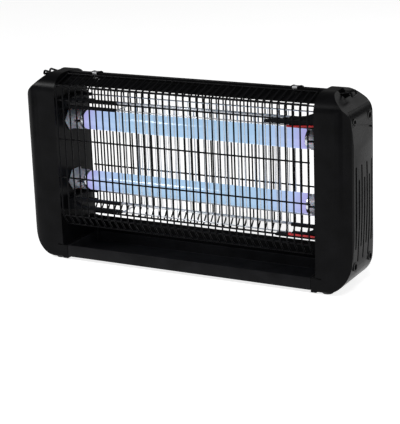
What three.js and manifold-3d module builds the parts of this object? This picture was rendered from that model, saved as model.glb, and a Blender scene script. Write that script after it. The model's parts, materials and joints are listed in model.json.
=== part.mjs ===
// Electric bug zapper: two moulded end caps joined by a top rail, wire guards front and rear,
// two lamp tubes, high-voltage grid planes around them and a pull-out catch tray.
// Millimetres. X runs along the width, the front faces -Y, Z is up. The origin is on the
// standing surface, under the middle of the object.
import * as THREE from 'three';
import { mergeVertices } from 'three/addons/utils/BufferGeometryUtils.js';
import Module from 'manifold-3d';

const wasm = await Module();
wasm.setup();

// ---------------------------------------------------------------- driving dimensions

// Clearances
const GAP = 0.3;              // between pieces that meet
const RUNNING = 0.5;          // round a piece that slides

// End caps
const CLEAR_WIDTH = 371;      // between the two caps
const CAP_WIDTH = 49.5;
const DEPTH = 82;
const CAP_TOP = 252.5;
const FOOT_HEIGHT = 2.5;
const CAP_WALL = 2.6;
const SIDE_BOW = 3;           // bulge of the outer side
const LOWER_ROUND_X = 37.5;   // lower outer corner
const LOWER_ROUND_Z = 41.5;
const SHOULDER_DROP = 20;     // sloping shoulder at the upper outer corner
const SHOULDER_RUN = 22;
const SHOULDER_SOFT = 14.5;   // length of the soft bend from shoulder to side
const SHOULDER_SIDE_RUN = 6;
const FRONT_FLAT = 23;        // flat part of the cap's front, from its inner edge
const TOP_ROUND_Y = 29;       // front and rear rounding of the cap's top
const TOP_ROUND_Z = 23.5;
const BOTTOM_ROUND = 5;
const LEDGE_WIDTH = 6.5;      // inward foot of the cap beside the tray
const LEDGE_OVER_TRAY = 2;    // the foot's height over the tray's own
const LATCH_SLOT = [8, 1.6];  // release slot beside the tray, width and height

// Side panel
const PANEL_EDGE_IN = 10;     // front and rear edge, in from the cap's faces
const PANEL_LOW = 27;
const PANEL_HIGH = 232;
const PANEL_WALL = 3;
const PANEL_SEAT = 9;         // how far the window reaches in from the outermost point
const VENT_WIDTH = 3.6;
const VENT_PITCH = 8.2;
const VENT_LENGTH = 105;
const VENT_UPPER_START = 59;
const VENT_LOWER_START = 41.5;
const VENT_COUNT = 7;
const SCREW_EDGE_IN = 7;      // screws, in from the panel's edges
const SCREW_LOW = 37;
const SCREW_HIGH = 218;
const SCREW_HEAD = 3.5;
const SCREW_HEAD_HEIGHT = 2.2;
const SCREW_SHANK = 1.5;
const SCREW_LENGTH = 16;
const COLLAR_WALL = 2;
const COLLAR_DEPTH = 11;
const BOSS_WALL = 2.2;

// Hanging rings
const RING_BAR = 1.4;
const RING_HALF = 7;
const RING_REACH = 15;
const RING_RISE = 3;          // the eye stands above its pivot
const RING_FALL = 5.2;        // turned-down end of the eye
const RING_TENSION = 0.1;     // how softly the bar turns its corners
const RING_STEPS = 36;
const RING_PIVOT_IN = 3;      // pivot, out from the plateau's edge
const RING_PIVOT_DOWN = 4;    // and below the plateau
const POCKET_RUN = 11;
const POCKET_DEPTH = 10;
const POCKET_WALL = 2;

// Top rail and its ridge
const RAIL_EDGE_IN = 12;      // eaves, in from the cap's faces
const RAIL_EAVE = 241;
const RAIL_RIDGE = 247.6;
const RAIL_SHEET = 2;
const RIB_HALF = 1.9;
const RIB_TOP = 251.4;

// Guards
const WIRE = 2.2;
const EDGE_WIRE = 2.8;
const GUARD_PITCH = 10;
const GUARD_SIDE_GAP = 5.5;   // at least, from the last wire to the cap
const GUARD_FACE = 1.2;        // wire centre, in from the cap's front face
const GUARD_TOP = 249.6;
const GUARD_TOP_Y = 8.6;      // top edge, out from the ridge
const GUARD_BEND = 239.2;
const GUARD_RUNG = 52.5;      // spacing of the level wires
const GUARD_WELD_EVERY = 9;   // uprights from one weld to the next
const GUARD_LOW = 62.5;
const GUARD_FOOT = 49;
const GUARD_FOOT_IN = 10;

// Guard clips
const CLIP_IN = 41;           // in from the cap's inner face
const CLIP_WIDTH = 6.5;
const CLIP_SHEET = 0.9;
const CLIP_LEG_GAP = 1;       // front leg, out from the rib
const CLIP_PIVOT_Y = 4.3;
const CLIP_PIVOT_Z = 251.2;
const CLIP_EYE = 2.1;
const CLIP_PIN = 1;
const LUG_WIDTH = 2.5;

// Base pan and catch tray
const PAN_SHEET = 1.8;
const PAN_REAR_TOP = 42;
const PAN_REAR_IN = 2;
const TRAY_HEIGHT = 16;
const TRAY_WALL = 2;
const TRAY_REAR_IN = 7;

// Lamps
const TUBE_RADIUS = 13;
const TUBE_WALL = 0.8;
const TUBE_FACE_LENGTH = 331.5;
const TUBE_END_LENGTH = 5.2;
const TUBE_HIGH = 187.5;
const TUBE_LOW = 104;
const PIN_SPACING = 12.7;
const PIN_RADIUS = 1.2;
const PIN_LENGTH = 7;
const SOCKET_OVER = 0.5;      // drum's radius over the tube's
const SOCKET_BORE = 9;
const SOCKET_BORE_DEPTH = 9;
const SOCKET_SLOT = 3.2;
const FLANGE_SHEET = 2;
const FLANGE_OVER_Y = 6;
const FLANGE_OVER_Z = 1;

// High-voltage grid
const GRID_OVER_TUBE = 6;     // return plane, out from the tube
const LIVE_OFFSET = 3.2;      // live plane, outward of the return plane
const GRID_LEFT_IN = 87.5;    // first wire, in from the left cap
const GRID_RIGHT_IN = 45.9;   // last wire, in from the right cap
const GRID_PITCH = 7.2;
const GRID_WIRE = 1.1;
const ROD_RADIUS = 0.9;
const LIVE_HIGH = 208.5;
const RETURN_HIGH = 217.5;
const LIVE_LOW = 82;
const RETURN_LOW = 70;
const PRONG_DEPTH = 6;
const PRONG_HEIGHT = 3.6;
const ARM_LEFT_REACH = 82.5;  // front arms, out from the caps
const ARM_RIGHT_REACH = 39.5;
const ARM_REAR_REACH = 20.5;
const UPPER_FINGER_REACH = 73.5;
const LOWER_FINGER_REACH = 61.5;
const FINGER_HEIGHT = 3;
const WEDGE_RISE = 10.5;      // how far the upper right arm rises at the wall
const ROD_SEAT = 8;
const ARM_BASE = 9;
const GUSSET = 16;            // foot of each arm, along the arm
const LEAD_RADIUS = 1.3;

// Inside the right cap
const CORE = [26, 40, 34];
const CORE_OUT = 22.5;        // centre, out from the cap's inner face
const CORE_Z = 122;
const CORE_LEG = 10;
const COIL_WALL = 6;
const BOARD = [1.6, 44, 56];
const BOARD_OUT = 7;
const BOARD_Z = 176;
const CAPACITOR = [9, 24, 14];
const ENTRY_OUT = 21.5;       // recessed entry at the rear: switch and cord gland
const ENTRY = [26, 5, 62];
const ENTRY_LOW = 48;
const SWITCH = [13, 12, 19];
const SWITCH_Z = 92;
const SWITCH_RIM = 1.5;
const ROCKER_TILT = 8;
const GLAND_Z = 60;
const GLAND_RADIUS = 6.5;
const GLAND_BORE = 3.2;
const GLAND_NECK = 4.8;

// Inside the left cap
const BALLAST = [24, 40, 96];
const BALLAST_OUT = 21.5;
const BALLAST_Z = 120;

// Feet
const FOOT_OUT = 11;          // out from the cap's inner face
const FOOT_IN = 13;           // in from its front and rear faces
const FOOT_RADIUS = 7;

// ---------------------------------------------------------------- values that follow

const INNER_X = CLEAR_WIDTH / 2;
const OUTER_X = INNER_X + CAP_WIDTH;
const SIDE_X = OUTER_X - SIDE_BOW;
const HALF_DEPTH = DEPTH / 2;
const PANEL_HALF_DEPTH = HALF_DEPTH - PANEL_EDGE_IN;
const SCREW_Y = PANEL_HALF_DEPTH - SCREW_EDGE_IN;
const RAIL_HALF_DEPTH = HALF_DEPTH - RAIL_EDGE_IN;
const TRAY_REAR_Y = HALF_DEPTH - TRAY_REAR_IN;
const FOOT_X = INNER_X + FOOT_OUT;
const FOOT_Y = HALF_DEPTH - FOOT_IN;
const CLIP_X = INNER_X - CLIP_IN;
const ENTRY_X = INNER_X + ENTRY_OUT;
const CORE_CENTRE = [INNER_X + CORE_OUT, 0, CORE_Z];
const BOARD_CENTRE = [INNER_X + BOARD_OUT, 0, BOARD_Z];
const BALLAST_CENTRE = [-INNER_X - BALLAST_OUT, 0, BALLAST_Z];
const GUARD_BAYS = 2 * Math.floor((INNER_X - GUARD_SIDE_GAP) / GUARD_PITCH);
const SHOULDER_LOW_X = SIDE_X - SHOULDER_SIDE_RUN;
const SHOULDER_LOW_Z = CAP_TOP - SHOULDER_DROP;
const SHOULDER_TOP_X = SHOULDER_LOW_X - SHOULDER_RUN;
const GUARD_Y = HALF_DEPTH - GUARD_FACE;
const LEDGE_X = INNER_X - LEDGE_WIDTH;
const LEDGE_TOP = FOOT_HEIGHT + TRAY_HEIGHT + LEDGE_OVER_TRAY;
const PAN_BOTTOM = FOOT_HEIGHT + GAP;
const TRAY_BOTTOM = PAN_BOTTOM + PAN_SHEET + RUNNING;
const TRAY_TOP = TRAY_BOTTOM + TRAY_HEIGHT;
const TUBE_FACE_X = TUBE_FACE_LENGTH / 2;
const SOCKET_FACE_X = TUBE_FACE_X + RUNNING;
const WINDOW_X = OUTER_X - PANEL_SEAT;
const SCREW_SEAT_X = OUTER_X - PANEL_SEAT + 1;
const COLLAR_END_X = OUTER_X - COLLAR_DEPTH;
const SOCKET_RADIUS = TUBE_RADIUS + SOCKET_OVER;
const FLANGE_HALF_Y = TUBE_RADIUS + FLANGE_OVER_Y;
const FLANGE_HALF_Z = TUBE_RADIUS + FLANGE_OVER_Z;
const GRID_Y = TUBE_RADIUS + GRID_OVER_TUBE;
const LIVE_Y = GRID_Y + LIVE_OFFSET;
const GRID_LEFT = GRID_LEFT_IN - INNER_X;
const GRID_WIRES = 1 + Math.round((CLEAR_WIDTH - GRID_LEFT_IN - GRID_RIGHT_IN) / GRID_PITCH);
const GRID_RIGHT = GRID_LEFT + GRID_PITCH * (GRID_WIRES - 1);
const ARM_RIGHT_TIP = INNER_X - ARM_RIGHT_REACH;
const CHAMFER_SHIFT = Math.tan(Math.PI / 8);
const AXES = {
  XY: [[1, 0, 0], [0, 1, 0], [0, 0, 1]],
  YZ: [[0, 1, 0], [0, 0, 1], [1, 0, 0]],
  XZ: [[1, 0, 0], [0, 0, 1], [0, -1, 0]],
};

// ---------------------------------------------------------------- solids

function solid(geometry) {
  const bare = geometry.clone();
  bare.deleteAttribute('normal');
  bare.deleteAttribute('uv');
  const merged = mergeVertices(bare, 1e-4);
  const vertProperties = new Float32Array(merged.attributes.position.array);
  const triVerts = new Uint32Array(merged.index.array);
  return new wasm.Manifold(new wasm.Mesh({ numProp: 3, vertProperties, triVerts }));
}

function geometryOf(body) {
  const mesh = body.getMesh();
  const geometry = new THREE.BufferGeometry();
  geometry.setAttribute('position', new THREE.BufferAttribute(new Float32Array(mesh.vertProperties), 3));
  geometry.setIndex(new THREE.BufferAttribute(new Uint32Array(mesh.triVerts), 1));
  geometry.computeVertexNormals();
  return geometry;
}

function joined(bodies) {
  return bodies.reduce((sum, body) => sum.add(body));
}

function cut(body, tools) {
  return tools.reduce((left, tool) => left.subtract(tool), body);
}

// A block between two opposite corners, in any order.
function block(a, b) {
  const size = a.map((value, i) => Math.abs(b[i] - value));
  const centre = a.map((value, i) => (b[i] + value) / 2);
  return solid(new THREE.BoxGeometry(...size).translate(...centre));
}

function centredBlock(size, centre) {
  return solid(new THREE.BoxGeometry(...size).translate(...centre));
}

// A straight round bar from a to b.
function bar(a, b, radius, sides = 12) {
  const from = new THREE.Vector3(...a);
  const along = new THREE.Vector3(...b).sub(from);
  const geometry = new THREE.CylinderGeometry(radius, radius, along.length(), sides);
  const turn = new THREE.Quaternion().setFromUnitVectors(
    new THREE.Vector3(0, 1, 0), along.clone().normalize());
  geometry.applyQuaternion(turn);
  const middle = from.clone().addScaledVector(along, 0.5);
  return solid(geometry.translate(middle.x, middle.y, middle.z));
}

// A flat outline in one of the planes XY, YZ or XZ, drawn out between two heights on the third axis.
function drawn(shape, plane, low, high, curveSegments = 8) {
  const [u, v, w] = AXES[plane].map((axis) => new THREE.Vector3(...axis));
  const geometry = new THREE.ExtrudeGeometry(
    shape, { depth: high - low, bevelEnabled: false, curveSegments });
  const start = plane === 'XZ' ? -high : low;
  geometry.translate(0, 0, start);
  geometry.applyMatrix4(new THREE.Matrix4().makeBasis(u, v, w));
  return solid(geometry);
}

function outline(points) {
  return new THREE.Shape(points.map(([x, y]) => new THREE.Vector2(x, y)));
}

// The same outline on the right (side 1) or the left (side -1).
function onSide(shape, side, divisions) {
  const points = shape.getPoints(divisions);
  return outline(points.map((point) => [side * point.x, point.y]));
}

// ---------------------------------------------------------------- end caps

function capFront(side, inset) {
  const shape = new THREE.Shape();
  const shift = inset * CHAMFER_SHIFT;
  const outer = SIDE_X - inset;
  const lowerCentreZ = FOOT_HEIGHT + LOWER_ROUND_Z;
  const sideTop = SHOULDER_LOW_Z - SHOULDER_SOFT;
  shape.moveTo(INNER_X + inset, FOOT_HEIGHT + inset);
  shape.lineTo(SIDE_X - LOWER_ROUND_X, FOOT_HEIGHT + inset);
  shape.absellipse(SIDE_X - LOWER_ROUND_X, lowerCentreZ, LOWER_ROUND_X - inset,
    LOWER_ROUND_Z - inset, -Math.PI / 2, 0, false);
  shape.quadraticCurveTo(outer + 2 * SIDE_BOW, (lowerCentreZ + sideTop) / 2, outer, sideTop);
  shape.quadraticCurveTo(outer, SHOULDER_LOW_Z - SHOULDER_SIDE_RUN,
    SHOULDER_LOW_X - inset, SHOULDER_LOW_Z - shift);
  shape.lineTo(SHOULDER_TOP_X - shift, CAP_TOP - inset);
  shape.lineTo(INNER_X + inset, CAP_TOP - inset);
  return onSide(shape, side, 5);
}

function capPlan(side, inset) {
  const shape = new THREE.Shape();
  const edge = OUTER_X - SIDE_BOW / 2 - inset;
  const face = HALF_DEPTH - inset;
  const flatEnd = INNER_X + FRONT_FLAT;
  shape.moveTo(INNER_X + inset, -face);
  shape.lineTo(flatEnd, -face);
  shape.quadraticCurveTo(edge - SIDE_BOW, -face, edge, -PANEL_HALF_DEPTH);
  shape.quadraticCurveTo(edge + SIDE_BOW, 0, edge, PANEL_HALF_DEPTH);
  shape.quadraticCurveTo(edge - SIDE_BOW, face, flatEnd, face);
  shape.lineTo(INNER_X + inset, face);
  return onSide(shape, side, 4);
}

function capSide(inset) {
  const shape = new THREE.Shape();
  const face = HALF_DEPTH - inset;
  const bottom = FOOT_HEIGHT + inset;
  const roundY = HALF_DEPTH - TOP_ROUND_Y;
  const roundZ = CAP_TOP - TOP_ROUND_Z;
  const lowY = face - BOTTOM_ROUND;
  shape.moveTo(-lowY, bottom);
  shape.lineTo(lowY, bottom);
  shape.quadraticCurveTo(face, bottom, face, bottom + BOTTOM_ROUND);
  shape.absellipse(roundY, roundZ, TOP_ROUND_Y - inset, TOP_ROUND_Z - inset, 0, Math.PI / 2, false);
  shape.absellipse(-roundY, roundZ, TOP_ROUND_Y - inset, TOP_ROUND_Z - inset,
    Math.PI / 2, Math.PI, false);
  shape.lineTo(-face, bottom + BOTTOM_ROUND);
  shape.quadraticCurveTo(-face, bottom, -lowY, bottom);
  return shape;
}

// The cap's full outer form, or the same form set in by an even wall.
function capForm(side, inset) {
  const far = OUTER_X + CAP_WIDTH;
  const ends = side > 0 ? [0, far] : [-far, 0];
  const front = drawn(capFront(side, inset), 'XZ', -DEPTH, DEPTH);
  const plan = drawn(capPlan(side, inset), 'XY', 0, CAP_TOP + FOOT_HEIGHT);
  const profile = drawn(capSide(inset), 'YZ', ...ends, 5);
  return front.intersect(plan).intersect(profile);
}

// The opening in the cap's outer side, or the panel's own edges when set in.
function panelWindow(side, inset) {
  const y = PANEL_HALF_DEPTH - inset;
  return block([side * (WINDOW_X + inset), -y, PANEL_LOW + inset],
    [side * (OUTER_X + CAP_WIDTH), y, PANEL_HIGH - inset]);
}

function screwPlaces() {
  const places = [];
  for (const z of [SCREW_LOW, SCREW_HIGH]) {
    for (const y of [-SCREW_Y, SCREW_Y]) {
      places.push([y, z]);
    }
  }
  return places;
}

function screwBoss(side, y, z) {
  const boss = bar([side * (INNER_X + GAP), y, z], [side * (COLLAR_END_X - GAP), y, z],
    SCREW_SHANK + BOSS_WALL);
  const bore = bar([side * (INNER_X + 2 * CAP_WALL), y, z], [side * OUTER_X, y, z],
    SCREW_SHANK + GAP);
  return { boss, bore };
}

// Pocket in the shoulder that takes the hanging ring's pivots.
function ringPocket(side, wall) {
  const y = RING_HALF + RING_BAR + GAP + wall;
  const from = SHOULDER_TOP_X - RING_BAR - wall;
  return block([side * from, -y, CAP_TOP - POCKET_DEPTH - wall],
    [side * (from + POCKET_RUN + 2 * wall), y, CAP_TOP + (wall > 0 ? 0 : RING_BAR)]);
}

function ringPivot(side) {
  return [side * (SHOULDER_TOP_X + RING_PIVOT_IN), 0, CAP_TOP - RING_PIVOT_DOWN];
}

function endCap(side) {
  const form = capForm(side, 0);
  const window = panelWindow(side, 0);
  let body = form.subtract(capForm(side, CAP_WALL)).subtract(window);
  const bores = [];
  for (const [y, z] of screwPlaces()) {
    const { boss, bore } = screwBoss(side, y, z);
    body = body.add(boss);
    bores.push(bore);
  }
  const pocketLiner = ringPocket(side, POCKET_WALL).intersect(form);
  const ledge = block([side * LEDGE_X, -HALF_DEPTH, FOOT_HEIGHT],
    [side * (INNER_X + 1), HALF_DEPTH, LEDGE_TOP]);
  const rearPost = block([side * LEDGE_X, HALF_DEPTH - 2 * BOTTOM_ROUND, FOOT_HEIGHT],
    [side * (INNER_X + 1), HALF_DEPTH, PAN_REAR_TOP]);
  const [pivotX, , pivotZ] = ringPivot(side);
  const pivotReach = RING_HALF + RING_BAR + POCKET_WALL;
  const pivotBore = bar([pivotX, -pivotReach, pivotZ], [pivotX, pivotReach, pivotZ], RING_BAR + GAP);
  const slot = block([side * (INNER_X - GAP), -HALF_DEPTH - GAP, LEDGE_TOP],
    [side * (INNER_X + LATCH_SLOT[0]), -HALF_DEPTH + CAP_WALL / 2, LEDGE_TOP + LATCH_SLOT[1]]);
  body = joined([body, pocketLiner, ledge, rearPost]);
  return cut(body, [ringPocket(side, 0), pivotBore, slot, ...bores]);
}

// The right cap also takes the mains entry and the two high-voltage leads.
function rightCap() {
  const form = capForm(1, 0);
  const [width, depth, height] = ENTRY;
  const wall = CAP_WALL;
  const liner = block([ENTRY_X - width / 2 - wall, HALF_DEPTH - depth - wall, ENTRY_LOW - wall],
    [ENTRY_X + width / 2 + wall, HALF_DEPTH, ENTRY_LOW + height + wall]).intersect(form);
  const pocket = block([ENTRY_X - width / 2, HALF_DEPTH - depth, ENTRY_LOW],
    [ENTRY_X + width / 2, HALF_DEPTH + GAP, ENTRY_LOW + height]);
  const throughY = [HALF_DEPTH - depth - 2 * wall, HALF_DEPTH];
  const switchHole = block(
    [ENTRY_X - SWITCH[0] / 2 - GAP, throughY[0], SWITCH_Z - SWITCH[2] / 2 - GAP],
    [ENTRY_X + SWITCH[0] / 2 + GAP, throughY[1], SWITCH_Z + SWITCH[2] / 2 + GAP]);
  const glandHole = bar([ENTRY_X, throughY[0], GLAND_Z], [ENTRY_X, throughY[1], GLAND_Z],
    GLAND_NECK + GAP, 20);
  const leadHoles = leadLevels().map((z) =>
    bar([INNER_X - GAP, leadY(), z], [INNER_X + 2 * CAP_WALL, leadY(), z], LEAD_RADIUS + RUNNING));
  return cut(endCap(1).add(liner), [pocket, switchHole, glandHole, ...leadHoles]);
}

function ventSlot(side, index) {
  const y = (index - (VENT_COUNT - 1) / 2) * VENT_PITCH;
  const low = index % 2 === 0 ? VENT_UPPER_START : VENT_LOWER_START;
  const r = VENT_WIDTH / 2;
  return block([side * (COLLAR_END_X - GAP), y - r, low], [side * (OUTER_X + r), y + r, low + VENT_LENGTH]);
}

function sidePanel(side) {
  const inside = capForm(side, PANEL_WALL);
  const edges = panelWindow(side, GAP);
  const form = capForm(side, 0);
  let body = form.intersect(edges).subtract(inside);
  const holes = [];
  for (const [y, z] of screwPlaces()) {
    const collar = bar([side * COLLAR_END_X, y, z], [side * OUTER_X, y, z],
      SCREW_HEAD + GAP + COLLAR_WALL).intersect(form);
    body = body.add(collar.intersect(block([0, -PANEL_HALF_DEPTH + GAP, PANEL_LOW + GAP],
      [side * 2 * OUTER_X, PANEL_HALF_DEPTH - GAP, PANEL_HIGH - GAP])));
    holes.push(bar([side * SCREW_SEAT_X, y, z], [side * (OUTER_X + 1), y, z], SCREW_HEAD + GAP));
    holes.push(bar([side * (COLLAR_END_X - 1), y, z], [side * OUTER_X, y, z], SCREW_SHANK + GAP));
  }
  for (let i = 0; i < VENT_COUNT; i += 1) {
    holes.push(ventSlot(side, i));
  }
  return cut(body, holes);
}

function panelScrew(side, y, z) {
  const seat = SCREW_SEAT_X + GAP;
  const head = bar([side * seat, y, z], [side * (seat + SCREW_HEAD_HEIGHT), y, z], SCREW_HEAD);
  const shank = bar([side * (seat + 1), y, z], [side * (seat - SCREW_LENGTH), y, z], SCREW_SHANK, 8);
  const socket = block([side * (seat + 1), y - SCREW_SHANK, z - GAP],
    [side * (seat + 2 * SCREW_HEAD_HEIGHT), y + SCREW_SHANK, z + GAP]);
  return head.add(shank).subtract(socket);
}

function hangingRing(side) {
  const [x, , z] = ringPivot(side);
  const elbow = [x + side * (RING_REACH - RING_BAR), z + RING_RISE];
  const end = [x + side * RING_REACH, z + RING_RISE - RING_FALL];
  const stub = RING_HALF + RING_BAR + POCKET_WALL - GAP;
  const half = [[x, stub, z], [x, RING_HALF + RING_BAR, z], [x + side * RING_BAR, RING_HALF, z],
    [elbow[0], RING_HALF, elbow[1]], [end[0], RING_HALF, end[1] + RING_BAR],
    [end[0], RING_HALF - RING_BAR, end[1]]];
  const others = half.map(([px, py, pz]) => [px, -py, pz]).reverse();
  const route = [...half, ...others].map((point) => new THREE.Vector3(...point));
  const path = new THREE.CatmullRomCurve3(route, false, 'catmullrom', RING_TENSION);
  const section = new THREE.Shape().absarc(0, 0, RING_BAR, 0, 2 * Math.PI, false);
  return solid(new THREE.ExtrudeGeometry(section,
    { extrudePath: path, steps: RING_STEPS, curveSegments: 4, bevelEnabled: false }));
}

// ---------------------------------------------------------------- top rail, clips and guards

function clipLug(x) {
  const y = CLIP_PIVOT_Y + CLIP_EYE;
  return block([x - LUG_WIDTH / 2, 0, RAIL_EAVE + RAIL_SHEET],
    [x + LUG_WIDTH / 2, y, CLIP_PIVOT_Z + CLIP_EYE]);
}

function topRail() {
  const end = INNER_X - GAP;
  const roof = outline([
    [-RAIL_HALF_DEPTH, RAIL_EAVE - RAIL_SHEET], [0, RAIL_RIDGE - RAIL_SHEET],
    [RAIL_HALF_DEPTH, RAIL_EAVE - RAIL_SHEET], [RAIL_HALF_DEPTH, RAIL_EAVE],
    [RIB_HALF, RAIL_RIDGE], [RIB_HALF, RIB_TOP], [-RIB_HALF, RIB_TOP],
    [-RIB_HALF, RAIL_RIDGE], [-RAIL_HALF_DEPTH, RAIL_EAVE]]);
  let body = drawn(roof, 'YZ', -end, end);
  const bores = [];
  for (const centre of [-CLIP_X, CLIP_X]) {
    const off = CLIP_WIDTH / 2 + RUNNING + LUG_WIDTH / 2;
    body = joined([body, clipLug(centre - off), clipLug(centre + off)]);
    const reach = off + LUG_WIDTH;
    bores.push(bar([centre - reach, CLIP_PIVOT_Y, CLIP_PIVOT_Z],
      [centre + reach, CLIP_PIVOT_Y, CLIP_PIVOT_Z], CLIP_PIN + GAP));
  }
  return cut(body, bores);
}

function guardClip(centre) {
  const low = centre - CLIP_WIDTH / 2;
  const high = centre + CLIP_WIDTH / 2;
  const eye = [CLIP_PIVOT_Y, CLIP_PIVOT_Z];
  const top = eye[1] + CLIP_EYE;
  const legBack = -RIB_HALF - CLIP_LEG_GAP;
  const legFront = legBack - CLIP_SHEET;
  const foot = RAIL_RIDGE + GAP;
  const strip = outline([
    [eye[0], top - CLIP_SHEET], [legBack, top - CLIP_SHEET], [legBack, foot], [legFront, foot],
    [legFront, top], [eye[0], top]]);
  const knuckle = bar([low, ...eye], [high, ...eye], CLIP_EYE);
  const bore = bar([low - 1, ...eye], [high + 1, ...eye], CLIP_PIN + GAP);
  return drawn(strip, 'YZ', low, high).add(knuckle).subtract(bore);
}

function clipPin(centre) {
  const reach = CLIP_WIDTH / 2 + RUNNING + LUG_WIDTH;
  const y = CLIP_PIVOT_Y;
  const z = CLIP_PIVOT_Z;
  const shank = bar([centre - reach, y, z], [centre + reach + GAP, y, z], CLIP_PIN);
  const head = bar([centre + reach + GAP, y, z], [centre + reach + 2, y, z], 2 * CLIP_PIN);
  return shank.add(head);
}

// A bent-wire guard: upright wires that follow one bent line, between a heavier wire along each edge.
// The level wires between run just inside and are welded to some of the uprights.
function guard(facing) {
  const y = facing * GUARD_Y;
  const line = [
    [facing * GUARD_TOP_Y, GUARD_TOP], [y, GUARD_BEND], [y, GUARD_LOW],
    [facing * (GUARD_Y - GUARD_FOOT_IN), GUARD_FOOT]];
  const inside = y - facing * (WIRE + GAP);
  const levels = [GUARD_BEND];
  for (let z = GUARD_LOW; z < GUARD_BEND - GUARD_RUNG / 4; z += GUARD_RUNG) {
    levels.push(z);
  }
  const upright = outline(thickened(line, WIRE / 2));
  const half = (GUARD_BAYS / 2) * GUARD_PITCH;
  const width = 2 * half + WIRE;
  const parts = [[line[0], line[1]], [line[3], line[2]]].map(([edge, next]) => {
    const square = [stepped(edge, next, -EDGE_WIRE / 2), stepped(edge, next, EDGE_WIRE / 2)];
    return drawn(outline(thickened(square, EDGE_WIRE / 2)), 'YZ', -width / 2, width / 2);
  });
  levels.forEach((z) => parts.push(centredBlock([width, WIRE, WIRE], [0, inside, z])));
  for (let i = 0; i <= GUARD_BAYS; i += 1) {
    const x = i * GUARD_PITCH - half;
    parts.push(drawn(upright, 'YZ', x - WIRE / 2, x + WIRE / 2));
    if (i % GUARD_WELD_EVERY === 0) {
      levels.forEach((z) => parts.push(centredBlock([WIRE / 2, WIRE, WIRE / 2], [x, (y + inside) / 2, z])));
    }
  }
  return joined(parts);
}

// The point a set distance from one point towards another.
function stepped(from, to, distance) {
  const length = Math.hypot(to[0] - from[0], to[1] - from[1]);
  return from.map((value, i) => value + ((to[i] - value) * distance) / length);
}

// The two sides of a bent line, a set distance to either hand, as one closed outline.
function thickened(line, reach) {
  const points = line.map(([a, b]) => new THREE.Vector2(a, b));
  const left = [];
  const right = [];
  points.forEach((point, i) => {
    const before = point.clone().sub(points[Math.max(i - 1, 0)]).normalize();
    const after = points[Math.min(i + 1, points.length - 1)].clone().sub(point).normalize();
    const along = before.add(after).normalize();
    const first = i === 0 ? after : point.clone().sub(points[i - 1]).normalize();
    const spread = reach / Math.max(along.dot(first), 0.5);
    const normal = new THREE.Vector2(-along.y, along.x).multiplyScalar(spread);
    left.push([point.x + normal.x, point.y + normal.y]);
    right.unshift([point.x - normal.x, point.y - normal.y]);
  });
  return [...left, ...right];
}

// ---------------------------------------------------------------- base pan, tray and feet

function basePan() {
  const end = LEDGE_X - GAP;
  const rear = HALF_DEPTH - PAN_REAR_IN;
  const profile = outline([
    [-TRAY_REAR_Y, PAN_BOTTOM], [rear, PAN_BOTTOM], [rear, PAN_REAR_TOP],
    [rear - PAN_SHEET, PAN_REAR_TOP], [rear - PAN_SHEET, PAN_BOTTOM + PAN_SHEET],
    [-TRAY_REAR_Y, PAN_BOTTOM + PAN_SHEET]]);
  return drawn(profile, 'YZ', -end, end);
}

function catchTray() {
  const end = LEDGE_X - RUNNING;
  const outer = block([-end, -HALF_DEPTH, TRAY_BOTTOM], [end, TRAY_REAR_Y, TRAY_TOP]);
  const inner = block([-end + TRAY_WALL, -HALF_DEPTH + TRAY_WALL, TRAY_BOTTOM + TRAY_WALL],
    [end - TRAY_WALL, TRAY_REAR_Y - TRAY_WALL, TRAY_TOP + 1]);
  return outer.subtract(inner);
}

function foot(side, facing) {
  return bar([side * FOOT_X, facing * FOOT_Y, 0],
    [side * FOOT_X, facing * FOOT_Y, FOOT_HEIGHT - GAP], FOOT_RADIUS, 20);
}

// ---------------------------------------------------------------- lamps

function lampTube(z) {
  const half = TUBE_FACE_X - TUBE_END_LENGTH - GAP;
  const inner = TUBE_RADIUS - TUBE_WALL;
  const wall = outline([
    [inner, -half], [TUBE_RADIUS, -half], [TUBE_RADIUS, half], [inner, half], [inner, -half]]);
  const geometry = new THREE.LatheGeometry(wall.getPoints(), 28);
  geometry.rotateZ(Math.PI / 2).translate(0, 0, z);
  return solid(geometry);
}

function tubeEnd(side, z) {
  const parts = [bar([side * (TUBE_FACE_X - TUBE_END_LENGTH), 0, z], [side * TUBE_FACE_X, 0, z],
    TUBE_RADIUS - TUBE_WALL / 2, 24)];
  for (const way of [-1, 1]) {
    const pinZ = z + (way * PIN_SPACING) / 2;
    parts.push(bar([side * (TUBE_FACE_X - 1), 0, pinZ], [side * (TUBE_FACE_X + PIN_LENGTH), 0, pinZ],
      PIN_RADIUS, 8));
  }
  return joined(parts);
}

function lampholder(side, z) {
  const wallX = INNER_X - GAP;
  const flatY = FLANGE_HALF_Y / 2;
  const span = (from, to) => (side > 0 ? [from, to] : [-to, -from]);
  const flange = drawn(outline([
    [-FLANGE_HALF_Y, z], [-flatY, z - FLANGE_HALF_Z], [flatY, z - FLANGE_HALF_Z],
    [FLANGE_HALF_Y, z], [flatY, z + FLANGE_HALF_Z], [-flatY, z + FLANGE_HALF_Z]]),
  'YZ', ...span(wallX - FLANGE_SHEET, wallX));
  const drum = bar([side * SOCKET_FACE_X, 0, z], [side * (wallX - 1), 0, z], SOCKET_RADIUS, 16);
  const bore = bar([side * (SOCKET_FACE_X - 1), 0, z],
    [side * (SOCKET_FACE_X + SOCKET_BORE_DEPTH), 0, z], SOCKET_BORE, 16);
  const slot = block([side * (SOCKET_FACE_X - 1), 0, z - SOCKET_SLOT / 2],
    [side * (SOCKET_FACE_X + SOCKET_BORE_DEPTH), -SOCKET_RADIUS - 1, z + SOCKET_SLOT / 2]);
  return cut(flange.add(drum), [bore, slot]);
}

// ---------------------------------------------------------------- high-voltage grid

// Where the arms of one side and face end, as seen from the middle of the width.
function armTip(side, facing) {
  if (facing > 0) {
    return side * (INNER_X - ARM_REAR_REACH);
  }
  return side > 0 ? ARM_RIGHT_TIP : ARM_LEFT_REACH - INNER_X;
}

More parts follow.
